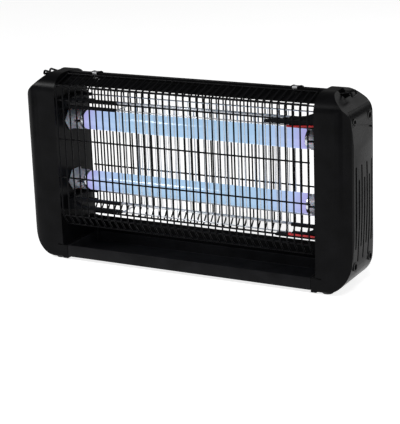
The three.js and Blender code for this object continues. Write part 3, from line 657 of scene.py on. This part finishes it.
@dataclass(frozen=True)
class Milky:
    """Translucent moulding that lets the lamp's light through."""

    slot: str = "milky"
    dark: Colour = (0.29, 0.30, 0.35)
    light: Colour = (0.46, 0.47, 0.53)

    def material(self) -> bpy.types.Material:
        """Builds the material."""
        nodes = Nodes("milky_moulding")
        nodes.feed("Base Color", nodes.ramp(nodes.noise(90.0), [(0.35, self.dark), (0.65, self.light)]))
        nodes.feed("Roughness", nodes.between(nodes.noise(70.0), 0.22, 0.4))
        nodes.bump(nodes.noise(900.0), 0.00003)
        nodes.put(Subsurface_Weight=0.3, Subsurface_Scale=0.004)
        return nodes.material


BLACK = Moulding("casing", (0.002, 0.002, 0.0022), (0.004, 0.004, 0.0045), 0.3)
TRAY_GREY = Moulding("tray", (0.005, 0.005, 0.0055), (0.009, 0.009, 0.01), 0.42)
ARM_BLACK = Moulding("insulator", (0.003, 0.0032, 0.004), (0.007, 0.0075, 0.009), 0.4)
RUBBER = Moulding("rubber", (0.004, 0.004, 0.004), (0.009, 0.009, 0.009), 0.78, depth=0.00008)
WIRE_BLACK = Moulding("wire", (0.002, 0.002, 0.0025), (0.005, 0.005, 0.0055), 0.36, grain=2600.0)
LEAD_RED = Moulding("lead", (0.42, 0.015, 0.02), (0.6, 0.03, 0.03), 0.4, gloss=0.4)
BOARD_GREEN = Moulding("board", (0.02, 0.15, 0.06), (0.05, 0.26, 0.12), 0.5)
CAPACITOR_BLUE = Moulding("capacitor", (0.03, 0.08, 0.34), (0.07, 0.15, 0.48), 0.3, gloss=0.4)
STEEL = Metal("steel", (0.74, 0.75, 0.77), (0.92, 0.93, 0.95), 0.34, (1, 1, 12))
GRID_STEEL = Metal("grid", (0.5, 0.51, 0.54), (0.74, 0.75, 0.78), 0.3, (12, 12, 1))
CAP_METAL = Metal("cap_metal", (0.66, 0.69, 0.76), (0.88, 0.9, 0.96), 0.26, (1, 8, 8))
CORE_STEEL = Metal("core", (0.18, 0.18, 0.2), (0.34, 0.34, 0.37), 0.5, (40, 1, 1), 0.00006)
COPPER = Metal("coil", (0.42, 0.18, 0.06), (0.72, 0.36, 0.15), 0.32, (1, 1, 30), 0.00008)
FINISHES = (BLACK, TRAY_GREY, ARM_BLACK, RUBBER, WIRE_BLACK, LEAD_RED, BOARD_GREEN, CAPACITOR_BLUE,
            STEEL, GRID_STEEL, CAP_METAL, CORE_STEEL, COPPER, LampGlow(), Milky())


class PaintShop:
    """Makes each finish once and puts it on pieces."""

    def __init__(self) -> None:
        """Builds every finish."""
        self.materials = {finish.slot: finish.material() for finish in FINISHES}

    def dress(self, body: Body, slot: str) -> None:
        """Gives a mesh one finish all over.

        Args:
            body: The mesh object.
            slot: The record's material slot.
        """
        body.data.materials.clear()
        body.data.materials.append(self.materials[slot])

    def finish(self, body: Body, slot: str, rides: str, *nodes: str) -> Body:
        """Dresses a new piece and ties it to the frame.

        Args:
            body: The mesh object.
            slot: The record's material slot.
            rides: The frame body that it moves with.
            nodes: The frame nodes that it stands for.

        Returns:
            The piece.
        """
        self.dress(body, slot)
        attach(body, rides)
        if nodes:
            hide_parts(*nodes)
        LOG.info("%s: %d faces on %s", body.name, len(body.data.polygons), rides)
        return body


# -------------------- end caps and side panels


@dataclass
class CapShape:
    """The outer form of an end cap: a front outline, a plan and a side outline that meet."""

    side: Side
    bow: float = 3.0 * MM
    lower_round: Flat = (37.5 * MM, 41.5 * MM)
    shoulder_drop: float = 20.0 * MM
    shoulder_run: float = 22.0 * MM
    shoulder_soft: float = 14.5 * MM
    shoulder_side_run: float = 6.0 * MM
    front_flat: float = 23.0 * MM
    top_round: Flat = (29.0 * MM, 23.5 * MM)
    bottom_round: float = 5.0 * MM
    panel_half_depth: float = 31.0 * MM
    smoothness: int = 14
    ledge: float = 6.5 * MM
    inner: float = field(init=False)
    outer: float = field(init=False)
    width: float = field(init=False)
    bottom: float = field(init=False)
    top: float = field(init=False)
    half_depth: float = field(init=False)

    def __post_init__(self) -> None:
        """Takes the cap's extent from the frame."""
        low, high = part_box("right_end_cap")
        self.inner = low.x + self.ledge
        self.outer = CAD_BOX[1].x
        self.width = self.outer - self.inner
        self.bottom = low.z
        self.top = high.z
        self.half_depth = high.y

    @property
    def shoulder_top(self) -> float:
        """X where the plateau meets the shoulder."""
        return self.outer - self.bow - self.shoulder_side_run - self.shoulder_run

    def front(self, inset: float) -> list[Flat]:
        """The front outline, set in by a wall."""
        n = self.smoothness
        shift = inset * math.tan(math.pi / 8)
        flank = self.outer - self.bow - inset
        low = self.bottom + inset
        centre = (self.outer - self.bow - self.lower_round[0], self.bottom + self.lower_round[1])
        foot = self.top - self.shoulder_drop
        side_top = foot - self.shoulder_soft
        foot_x = self.outer - self.bow - self.shoulder_side_run
        radii = (self.lower_round[0] - inset, self.lower_round[1] - inset)
        points = [(self.inner + inset, low)]
        points += arc(centre, radii, -90, 0, n)
        bulge = (flank + 2 * self.bow, (centre[1] + side_top) / 2)
        points += bend((flank, centre[1]), bulge, (flank, side_top), n)
        elbow = (flank, foot - self.shoulder_side_run)
        points += bend((flank, side_top), elbow, (foot_x - inset, foot - shift), n)
        points += [(self.shoulder_top - shift, self.top - inset), (self.inner + inset, self.top - inset)]
        return self.placed(points)

    def plan(self, inset: float) -> list[Flat]:
        """The plan, set in by a wall."""
        n = self.smoothness
        edge = self.outer - self.bow / 2 - inset
        face = self.half_depth - inset
        flat = self.inner + self.front_flat
        wide = self.panel_half_depth
        points = [(self.inner + inset, -face)]
        points += bend((flat, -face), (edge - self.bow, -face), (edge, -wide), n)
        points += bend((edge, -wide), (edge + self.bow, 0.0), (edge, wide), n)
        points += bend((edge, wide), (edge - self.bow, face), (flat, face), n)
        points += [(self.inner + inset, face)]
        return self.placed(points)

    def profile(self, inset: float) -> list[Flat]:
        """The side outline, set in by a wall."""
        n = self.smoothness
        face = self.half_depth - inset
        low = self.bottom + inset
        centre_y = self.half_depth - self.top_round[0]
        centre_z = self.top - self.top_round[1]
        radii = (self.top_round[0] - inset, self.top_round[1] - inset)
        curve = self.bottom_round
        points = bend((face - curve, low), (face, low), (face, low + curve), n // 2)
        points += arc((centre_y, centre_z), radii, 0, 90, n)
        points += arc((-centre_y, centre_z), radii, 90, 180, n)
        points += bend((-face, low + curve), (-face, low), (-face + curve, low), n // 2)
        return tidy(points)

    def placed(self, points: Sequence[Flat]) -> list[Flat]:
        """Puts an outline on this cap's side."""
        return tidy([(self.side.value * x, y) for x, y in points])

    def ends(self, start: float, end: float) -> list[float]:
        """Two places along the right cap's X, put on this cap's side, the lower first."""
        return sorted((self.side.value * start, self.side.value * end))

    def block(self, name: str, low: Point, high: Point) -> Body:
        """A box placed as for the right cap, put on this cap's side.

        Args:
            name: The new object's name.
            low: One corner, on the right cap.
            high: The opposite corner.

        Returns:
            The box.
        """
        sign = self.side.value
        return Bench.block(name, (sign * low[0], *low[1:]), (sign * high[0], *high[1:]))

    def form(self, name: str, inset: float) -> Body:
        """The whole form, set in by a wall.

        Args:
            name: The new object's name.
            inset: The wall.

        Returns:
            The closed solid.
        """
        reach = 2 * self.half_depth
        far = self.outer + self.width
        body = Bench.slab(name, self.front(inset), Plane.XZ, -reach, reach)
        plan = Bench.slab("plan", self.plan(inset), Plane.XY, -reach, self.top + reach)
        Bench.combine(body, plan, Cut.COMMON)
        side = Bench.slab("profile", self.profile(inset), Plane.YZ, *self.ends(0.0, far))
        return Bench.combine(body, side, Cut.COMMON)


@dataclass
class EndCap:
    """A moulded end cap with its shoulder pocket, ledge and window for the side panel."""

    side: Side
    wall: float = 2.6 * MM
    window_in: float = 9.0 * MM
    window_low: float = 27.0 * MM
    window_high: float = 232.0 * MM
    pocket_half: float = 8.7 * MM
    pocket_lead: float = 1.4 * MM
    pocket_run: float = 11.0 * MM
    pocket_depth: float = 10.0 * MM
    pocket_wall: float = 2.0 * MM
    ledge_height: float = 18.0 * MM
    ledge_overlap: float = 1.0 * MM
    slot_run: float = 8.0 * MM
    slot_depth: float = 1.3 * MM
    slot_height: float = 1.6 * MM
    entry_half: float = 13.0 * MM
    entry_depth: float = 5.0 * MM
    entry_low: float = 48.0 * MM
    entry_high: float = 110.0 * MM
    bore: float = 5.1 * MM

    def build(self, shop: PaintShop) -> None:
        """Makes the cap and ties it to the frame.

        Args:
            shop: The finishes.
        """
        shape = CapShape(self.side)
        body = shape.form(f"{self.side.word}_cap_shell", 0.0)
        Bench.combine(body, shape.form("inside", self.wall), Cut.REMOVE)
        window = shape.block(
            "window", (shape.outer - self.window_in, -shape.panel_half_depth, self.window_low),
            (shape.outer + shape.width, shape.panel_half_depth, self.window_high))
        Bench.combine(body, window, Cut.REMOVE)
        self.add_pocket(body, shape)
        self.add_ledge(body, shape)
        if self.side is Side.RIGHT:
            self.add_entry(body, shape)
        Bench.merge(body, SHELL_MERGE)
        Bench.smooth(body, SHELL_ANGLE)
        shop.finish(body, "casing", "root", f"{self.side.word}_end_cap")

    def add_pocket(self, body: Body, shape: CapShape) -> None:
        """Sinks the hanging ring's pocket into the shoulder.

        Args:
            body: The cap.
            shape: Its form.
        """
        start = shape.shoulder_top - self.pocket_lead
        for wall, how in ((self.pocket_wall, Cut.ADD), (0.0, Cut.REMOVE)):
            top = shape.top + (0.0 if wall else 2 * self.pocket_wall)
            low = (start - wall, -self.pocket_half - wall, shape.top - self.pocket_depth - wall)
            high = (start + self.pocket_run + wall, self.pocket_half + wall, top)
            tool = shape.block("pocket", low, high)
            if wall:
                Bench.combine(tool, shape.form("skin", 0.0), Cut.COMMON)
            Bench.combine(body, tool, how)

    def add_ledge(self, body: Body, shape: CapShape) -> None:
        """Adds the foot that reaches in beside the tray, and the post behind it.

        Args:
            body: The cap.
            shape: Its form.
        """
        start, end = shape.inner - shape.ledge, shape.inner + self.ledge_overlap
        rear, ledge_top = shape.half_depth, shape.bottom + self.ledge_height
        ledge = shape.block("ledge", (start, -rear, shape.bottom), (end, rear, ledge_top))
        Bench.combine(body, ledge, Cut.ADD)
        rear_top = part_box("base_pan")[1].z
        post_front = rear - 2 * shape.bottom_round
        post = shape.block("post", (start, post_front, shape.bottom), (end, rear, rear_top))
        Bench.combine(body, post, Cut.ADD)
        slot = shape.block(
            "slot", (shape.inner - SEAM, -rear - 1 * MM, ledge_top),
            (shape.inner + self.slot_run, -rear + self.slot_depth, ledge_top + self.slot_height))
        Bench.combine(body, slot, Cut.REMOVE)

    def add_entry(self, body: Body, shape: CapShape) -> None:
        """Recesses the rear for the switch and the cord gland, with its holes.

        Args:
            body: The cap.
            shape: Its form.
        """
        low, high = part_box("power_switch_body")
        gland_low, gland_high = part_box("cord_gland")
        middle = (low.x + high.x) / 2
        left, right = middle - self.entry_half, middle + self.entry_half
        rear = shape.half_depth
        floor = rear - self.entry_depth
        wall = self.wall
        liner = Bench.block("liner", (left - wall, floor - wall, self.entry_low - wall),
                            (right + wall, rear - 0.5 * MM, self.entry_high + wall))
        Bench.combine(body, liner, Cut.ADD)
        recess = Bench.block("recess", (left, floor, self.entry_low),
                             (right, rear + self.entry_depth, self.entry_high))
        Bench.combine(body, recess, Cut.REMOVE)
        rim = 1.2 * MM
        hole = Bench.block("hole", (low.x + rim, low.y - SEAM, low.z + rim),
                           (high.x - rim, rear, high.z - rim))
        Bench.combine(body, hole, Cut.REMOVE)
        gland_z = (gland_low.z + gland_high.z) / 2
        bore = Bench.rod("bore", (middle, gland_low.y, gland_z), (middle, rear, gland_z), self.bore)
        Bench.combine(body, bore, Cut.REMOVE)


@dataclass
class SidePanel:
    """The curved plate in a cap's side, with vents, screw recesses and a slanted groove."""

    side: Side
    wall: float = 3.0 * MM
    vent_width: float = 3.6 * MM
    vent_pitch: float = 8.2 * MM
    vent_length: float = 105.0 * MM
    vent_starts: Flat = (59.0 * MM, 41.5 * MM)
    vent_reach: float = 12.0 * MM
    vents: int = 7
    recess: float = 3.8 * MM
    recess_depth: float = 8.0 * MM
    collar: float = 5.8 * MM
    collar_span: Flat = (11.0 * MM, 2.5 * MM)
    groove_width: float = 2.2 * MM
    groove_depth: float = 1.8 * MM
    groove_reach: float = 20.0 * MM
    groove_ends: tuple[Flat, Flat] = ((-29.5 * MM, 218.0 * MM), (29.5 * MM, 203.0 * MM))

    def build(self, shop: PaintShop) -> None:
        """Makes the panel and ties it to the frame.

        Args:
            shop: The finishes.
        """
        shape = CapShape(self.side)
        node = f"{self.side.word}_side_panel"
        cap = EndCap(self.side)
        body = shape.form(f"{self.side.word}_panel_plate", 0.0)
        reach = shape.panel_half_depth - SEAM
        edges = shape.block(
            "edges", (shape.outer - cap.window_in + SEAM, -reach, cap.window_low + SEAM),
            (shape.outer + shape.width, reach, cap.window_high - SEAM))
        Bench.combine(body, edges, Cut.COMMON)
        Bench.combine(body, shape.form("inside", self.wall), Cut.REMOVE)
        self.cut_vents(body, shape)
        self.sink_screws(body, shape)
        self.cut_groove(body, shape)
        Bench.merge(body, SHELL_MERGE)
        Bench.smooth(body, SHELL_ANGLE)
        shop.finish(body, "casing", "root", node)

    def cut_vents(self, body: Body, shape: CapShape) -> None:
        """Cuts the upright vents, each with round ends.

        Args:
            body: The panel.
            shape: The cap's form.
        """
        radius = self.vent_width / 2
        ends = shape.ends(shape.outer - self.vent_reach, shape.outer + PAST)
        for i in range(self.vents):
            y = (i - (self.vents - 1) / 2) * self.vent_pitch
            low = self.vent_starts[i % 2]
            high = low + self.vent_length
            outline = arc((y, high - radius), (radius, radius), 0, 180, 10)
            outline += arc((y, low + radius), (radius, radius), 180, 360, 10)
            Bench.combine(body, Bench.slab("vent", tidy(outline), Plane.YZ, *ends), Cut.REMOVE)

    def sink_screws(self, body: Body, shape: CapShape) -> None:
        """Adds a collar and a deep recess round each screw.

        Args:
            body: The panel.
            shape: The cap's form.
        """
        sign = self.side.value
        for i in range(1, 5):
            low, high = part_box(f"{self.side.word}_panel_screw_{i}")
            y, z = (low.y + high.y) / 2, (low.z + high.z) / 2
            collar_in, collar_out = (sign * (shape.outer - depth) for depth in self.collar_span)
            collar = Bench.rod("collar", (collar_in, y, z), (collar_out, y, z), self.collar)
            Bench.combine(body, collar, Cut.ADD)
            floor, past = sign * (shape.outer - self.recess_depth), sign * (shape.outer + PAST)
            seat = Bench.rod("seat", (floor, y, z), (past, y, z), self.recess)
            Bench.combine(body, seat, Cut.REMOVE)

    def cut_groove(self, body: Body, shape: CapShape) -> None:
        """Cuts the shallow slanted groove that divides the panel.

        Args:
            body: The panel.
            shape: The cap's form.
        """
        (y0, z0), (y1, z1) = self.groove_ends
        half = self.groove_width / 2
        outline = [(y0, z0 - half), (y1, z1 - half), (y1, z1 + half), (y0, z0 + half)]
        ends = shape.ends(shape.outer - self.groove_reach, shape.outer + PAST)
        tool = Bench.slab("groove", outline, Plane.YZ, *ends)
        Bench.combine(tool, shape.form("depth", self.groove_depth), Cut.REMOVE)
        Bench.combine(body, tool, Cut.REMOVE)


# -------------------- guards and grid


@dataclass
class Guard:
    """A wire guard: round uprights along one bent line, with level wires welded behind them."""

    facing: Facing
    wire: float = 1.1 * MM
    edge_wire: float = 1.3 * MM
    pitch: float = 10.0 * MM
    bays: int = 36
    offset: float = 2.5 * MM
    bend_radius: float = 5.0 * MM
    top: Flat = (8.6 * MM, 249.6 * MM)
    bend_z: float = 239.2 * MM
    foot_in: float = 10.0 * MM
    foot_z: float = 49.0 * MM
    low_z: float = 62.5 * MM
    rung: float = 52.5 * MM
    face: float = 1.2 * MM

    @property
    def plane(self) -> float:
        """Y of the uprights' centre lines."""
        return self.facing.value * (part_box("right_end_cap")[1].y - self.face)

    def line(self) -> list[Flat]:
        """The upright's centre line in Y and Z, with its two bends rounded."""
        sign, y = self.facing.value, self.plane
        corners = [(sign * self.top[0], self.top[1]), (y, self.bend_z), (y, self.low_z),
                   (y - sign * self.foot_in, self.foot_z)]
        return rounded(corners, self.bend_radius)

    def build(self, shop: PaintShop) -> None:
        """Makes the guard and ties it to the frame.

        Args:
            shop: The finishes.
        """
        sign = self.facing.value
        node = f"{self.facing.word}_guard"
        shift = sign * self.offset
        half = self.bays * self.pitch / 2
        line = self.line()
        upright = Bench.wire("upright", [(shift - half, y, z) for y, z in line], self.wire)
        Bench.array(upright, self.bays + 1, (self.pitch, 0.0, 0.0))
        Bench.smooth(upright, WIRE_ANGLE)
        inside = self.plane - sign * 2 * self.wire
        levels = [(inside, self.bend_z)]
        level = self.low_z
        while level < self.bend_z - self.rung / 4:
            levels.append((inside, level))
            level += self.rung
        reach = half + self.wire
        pieces = [upright]
        for i, (ry, rz) in enumerate([line[0], line[-1], *levels]):
            radius = self.edge_wire if i < 2 else self.wire
            pieces.append(Bench.wire("level", [(shift - reach, ry, rz), (shift + reach, ry, rz)], radius))
            Bench.smooth(pieces[-1], WIRE_ANGLE)
        body = Bench.join(f"{self.facing.word}_guard_wires", pieces)
        shop.finish(body, "wire", "front_guard_body" if self.facing is Facing.FRONT else "root", node)


@dataclass
class KillingGrid:
    """One polarity of one side of the high-voltage grid: two rods and their upright wires."""

    facing: Facing
    live: bool
    wire: float = 0.55 * MM
    rod: float = 0.9 * MM
    left: float = -98.0 * MM
    pitch: float = 7.2 * MM
    wires: int = 34

    def build(self, shop: PaintShop) -> None:
        """Makes the half grid and ties it to the frame.

        Args:
            shop: The finishes.
        """
        kind = "live" if self.live else "return"
        node = f"{self.facing.word}_{kind}_grid"
        low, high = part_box(node)
        y = (low.y + high.y) / 2
        first = 0 if self.live else 1
        count = (self.wires + 1) // 2 if self.live else self.wires // 2
        bottom, top = low.z + self.rod, high.z - self.rod
        start = self.left + first * self.pitch
        upright = Bench.wire("strand", [(start, y, bottom), (start, y, top)], self.wire, 1)
        Bench.array(upright, count, (2 * self.pitch, 0.0, 0.0))
        Bench.smooth(upright, WIRE_ANGLE)
        pieces = [upright]
        for z in (bottom, top):
            pieces.append(Bench.rod("carrier", (low.x, y, z), (high.x, y, z), self.rod, 16))
            Bench.bevel(pieces[-1], 0.3 * MM, 2)
            Bench.smooth(pieces[-1])
        body = Bench.join(f"{self.facing.word}_{kind}_wires", pieces)
        shop.finish(body, "grid", "root", node)


# -------------------- lamps


@dataclass
class Lamp:
    """A straight lamp tube with its two metal caps and their pins."""

    level: Level
    skirt: float = 0.4 * MM
    pin_spacing: float = 12.7 * MM
    pin: float = 1.2 * MM
    pin_root: float = 1.0 * MM
    cap_length: float = 5.2 * MM

    def build(self, shop: PaintShop) -> None:
        """Makes the tube and both caps and ties them to the frame.

        Args:
            shop: The finishes.
        """
        word = self.level.value
        node = f"{word}_lamp_tube"
        low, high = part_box(node)
        z = (low.z + high.z) / 2
        radius = (high.z - low.z) / 2
        tube = Bench.rod(f"{word}_tube_glass", (low.x, 0, z), (high.x, 0, z), radius, 72)
        Bench.bevel(tube, 1.6 * MM, 5)
        Bench.smooth(tube)
        shop.finish(tube, "glow", f"{word}_lamp", node)
        for side in Side:
            self.build_cap(shop, side, z, radius)

    def build_cap(self, shop: PaintShop, side: Side, z: float, radius: float) -> None:
        """Makes one end cap with its pins.

        Args:
            shop: The finishes.
            side: Which end.
            z: The lamp's height.
            radius: The tube's radius.
        """
        word = self.level.value
        node = f"{side.word}_{word}_tube_end"
        low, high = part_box(node)
        sign = side.value
        inner = low.x if sign > 0 else high.x
        tip = high.x if sign > 0 else low.x
        face = inner + sign * self.cap_length
        cap = Bench.rod(f"{side.word}_{word}_tube_cap", (inner, 0, z), (face, 0, z), radius - self.skirt, 64)
        Bench.bevel(cap, 0.9 * MM, 4)
        pieces = [cap]
        for way in (-1, 1):
            pin_z = z + way * self.pin_spacing / 2
            root = (face - sign * self.pin_root, 0, pin_z)
            pin = Bench.rod("pin", root, (tip, 0, pin_z), self.pin, 20)
            Bench.bevel(pin, 0.5 * MM, 3)
            pieces.append(pin)
        body = Bench.join(f"{side.word}_{word}_tube_cap", pieces)
        Bench.smooth(body)
        shop.finish(body, "cap_metal", f"{word}_lamp", node)


# -------------------- small pieces


@dataclass
class HangingRing:
    """A bent wire ring that folds out of the cap's shoulder."""

    side: Side
    wire: float = 1.4 * MM
    half: float = 7.0 * MM
    corner: float = 3.0 * MM
    stub: float = 10.1 * MM
    reach: float = 15.0 * MM
    rise: float = 3.0 * MM
    fall: float = 5.2 * MM
    pivot: Flat = (3.0 * MM, 4.0 * MM)

    def build(self, shop: PaintShop) -> None:
        """Makes the ring and ties it to the frame.

        Args:
            shop: The finishes.
        """
        node = f"{self.side.word}_hanging_ring"
        shape = CapShape(self.side)
        sign = self.side.value
        x = sign * (shape.shoulder_top + self.pivot[0])
        z = shape.top - self.pivot[1]
        elbow = (x + sign * (self.reach - self.wire), z + self.rise)
        end = (x + sign * self.reach, z + self.rise - self.fall)
        corners = [(x, self.stub, z), (x, self.half, z), (elbow[0], self.half, elbow[1]),
                   (end[0], self.half, end[1])]
        corners += [(px, -py, pz) for px, py, pz in reversed(corners)]
        route = rounded(corners, self.corner)
        body = Bench.wire(f"{self.side.word}_ring_wire", route, self.wire, 4)
        Bench.smooth(body, WIRE_ANGLE)
        shop.finish(body, "casing", f"{self.side.word}_ring_body", node)


@dataclass
class PanelScrew:
    """A cross-recess screw that holds a side panel."""

    side: Side
    number: int
    head: float = 3.5 * MM
    head_height: float = 2.2 * MM
    shank: float = 1.5 * MM
    recess: Flat = (1.9 * MM, 0.45 * MM)
    recess_depth: float = 1.2 * MM
    overlap: float = 0.2 * MM

    def build(self, shop: PaintShop) -> None:
        """Makes the screw and ties it to the frame.

        Args:
            shop: The finishes.
        """
        node = f"{self.side.word}_panel_screw_{self.number}"
        low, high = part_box(node)
        sign = self.side.value
        y, z = (low.y + high.y) / 2, (low.z + high.z) / 2
        top = high.x if sign > 0 else low.x
        tip = low.x if sign > 0 else high.x
        under = top - sign * self.head_height
        body = Bench.rod(f"{self.side.word}_screw_{self.number}", (under, y, z), (top, y, z), self.head, 32)
        Bench.bevel(body, 0.7 * MM, 3)
        long, short = self.recess
        for half_y, half_z in ((long, short), (short, long)):
            cutter = Bench.block("cross", (top - sign * self.recess_depth, y - half_y, z - half_z),
                                 (top + sign * PAST, y + half_y, z + half_z))
            Bench.combine(body, cutter, Cut.REMOVE)
        shank = Bench.rod("shank", (tip, y, z), (under + sign * self.overlap, y, z), self.shank, 20)
        Bench.bevel(shank, 0.6 * MM, 2)
        body = Bench.join(body.name, [body, shank])
        Bench.smooth(body)
        shop.finish(body, "steel", "root", node)


@dataclass(frozen=True)
class Reworked:
    """A frame node whose shape is right: a copy with its edges rounded and its own finish."""

    node: str
    slot: str
    body: str = "root"
    edge: float = 0.4 * MM
    segments: int = 2

    def build(self, shop: PaintShop) -> None:
        """Makes the piece and ties it to the frame.

        Args:
            shop: The finishes.
        """
        piece = Bench.rework(self.node, f"{self.node}_piece", self.edge, self.segments)
        shop.finish(piece, self.slot, self.body, self.node)


def plain_pieces() -> Iterable[Reworked]:
    """Every piece that follows its frame node closely.

    Returns:
        The pieces, in the order that they are made.
    """
    yield Reworked("top_rail", "casing", edge=0.5 * MM)
    yield Reworked("base_pan", "casing", edge=0.5 * MM)
    yield Reworked("catch_tray", "tray", "catch_tray_body", 0.6 * MM)
    for side in Side:
        yield Reworked(f"{side.word}_guard_clip", "steel", f"{side.word}_clip_body", 0.15 * MM)
        yield Reworked(f"{side.word}_clip_pin", "wire", edge=0.2 * MM)
        for facing in Facing:
            yield Reworked(f"{side.word}_{facing.word}_foot", "rubber", edge=0.5 * MM)
        for level in Level:
            yield Reworked(f"{side.word}_{level.value}_lampholder", "milky", edge=0.5 * MM)
            yield Reworked(f"{side.word}_{level.value}_insulator", "insulator", edge=0.5 * MM)
    for node in ("live_link_rod", "return_link_rod"):
        yield Reworked(node, "grid", edge=0.2 * MM)
    for node in ("live_lead", "return_lead"):
        yield Reworked(node, "lead", edge=0.0)
    yield Reworked("transformer_core", "core", edge=0.4 * MM)
    yield Reworked("transformer_coil", "coil", edge=1.0 * MM, segments=3)
    yield Reworked("circuit_board", "board", edge=0.2 * MM)
    yield Reworked("storage_capacitor", "capacitor", edge=1.5 * MM, segments=4)
    yield Reworked("lamp_ballast", "core", edge=0.6 * MM)
    yield Reworked("power_switch_body", "insulator", edge=0.3 * MM)
    yield Reworked("power_switch_rocker", "insulator", "rocker", 0.3 * MM)
    yield Reworked("cord_gland", "rubber", edge=0.5 * MM)


# -------------------- studio


@dataclass
class Studio:
    """A pale floor, soft light and the camera."""

    camera_place: Point = (0.90096, -1.64527, 0.63085)
    camera_turn: Point = (73.5, 2.0, 28.0)
    lens: float = 127.16
    floor_half: float = 12.0
    floor_dark: Colour = (0.52, 0.52, 0.52)
    floor_light: Colour = (0.54, 0.54, 0.54)
    floor_glow: float = 0.82
    world: float = 0.13
    backdrop: float = 1.0

    def build(self) -> None:
        """Sets up the whole studio."""
        bpy.context.scene.view_settings.view_transform = "Standard"
        self.lay_floor()
        self.hang_lights()
        self.place_camera()

    def lay_floor(self) -> None:
        """Lays the floor just under the feet."""
        bpy.ops.mesh.primitive_plane_add(size=2 * self.floor_half, location=(0, 0, -0.2 * MM))
        floor = bpy.context.object
        floor.name = "studio_floor"
        nodes = Nodes("studio_floor")
        nodes.feed("Base Color", nodes.blend(nodes.noise(3.0), self.floor_dark, self.floor_light))
        nodes.put(Roughness=0.9, Emission_Strength=self.floor_glow)
        nodes.shader.inputs["Emission Color"].default_value = (1, 1, 1, 1)
        floor.data.materials.append(nodes.material)

    def hang_lights(self) -> None:
        """Adds the sky and the soft boxes."""
        world = bpy.data.worlds.new("studio_world")
        world.use_nodes = True
        tree = world.node_tree
        seen = tree.nodes["Background"]
        seen.inputs["Color"].default_value = (1.0, 1.0, 1.0, 1.0)
        seen.inputs["Strength"].default_value = self.backdrop
        lit = tree.nodes.new("ShaderNodeBackground")
        lit.inputs["Color"].default_value = (1.0, 1.0, 1.0, 1.0)
        lit.inputs["Strength"].default_value = self.world
        path = tree.nodes.new("ShaderNodeLightPath")
        mix = tree.nodes.new("ShaderNodeMixShader")
        tree.links.new(path.outputs["Is Camera Ray"], mix.inputs["Fac"])
        tree.links.new(lit.outputs["Background"], mix.inputs[1])
        tree.links.new(seen.outputs["Background"], mix.inputs[2])
        tree.links.new(mix.outputs["Shader"], tree.nodes["World Output"].inputs["Surface"])
        bpy.context.scene.world = world
        self.soft_box("key_light", (-1.25, -1.3, 1.6), (0, 0, 0.15), 0.5, 32.0)
        self.soft_box("fill_light", (1.6, -1.0, 0.9), (0.1, 0, 0.12), 0.8, 6.5)
        self.soft_box("back_light", (0.6, 1.7, 1.3), (0, 0, 0.15), 1.2, 5.0)
        self.soft_box("top_light", (0.75, -1.0, 1.5), (0.2, 0, 0.2), 0.3, 9.0)

    @staticmethod
    def soft_box(name: str, place: Point, target: Point, size: float, power: float) -> None:
        """Adds one square area light that faces a point.

        Args:
            name: The light's name.
            place: Where it stands.
            target: What it faces.
            size: Its side.
            power: Its power in watts.
        """
        bpy.ops.object.light_add(type="AREA", location=place)
        light = bpy.context.object
        light.name = name
        light.data.size = size
        light.data.energy = power
        light.rotation_euler = (Vector(target) - Vector(place)).to_track_quat("-Z", "Y").to_euler()

    def place_camera(self) -> None:
        """Stands the camera in front, to the right and a little above."""
        bpy.ops.object.camera_add(location=self.camera_place,
                                  rotation=[math.radians(angle) for angle in self.camera_turn])
        camera = bpy.context.object
        camera.data.lens = self.lens
        bpy.context.scene.camera = camera


def main() -> None:
    """Builds every sub-assembly in order, dresses it and reports it."""
    logging.basicConfig(level=logging.INFO, format="%(name)s %(message)s")
    Studio().build()
    shop = PaintShop()
    for facing in Facing:
        Guard(facing).build(shop)
        for live in (True, False):
            KillingGrid(facing, live).build(shop)
    for level in Level:
        Lamp(level).build(shop)
    for piece in plain_pieces():
        piece.build(shop)
    for side in Side:
        EndCap(side).build(shop)
        SidePanel(side).build(shop)
        HangingRing(side).build(shop)
        for number in range(1, 5):
            PanelScrew(side, number).build(shop)


if __name__ == "__main__":
    main()
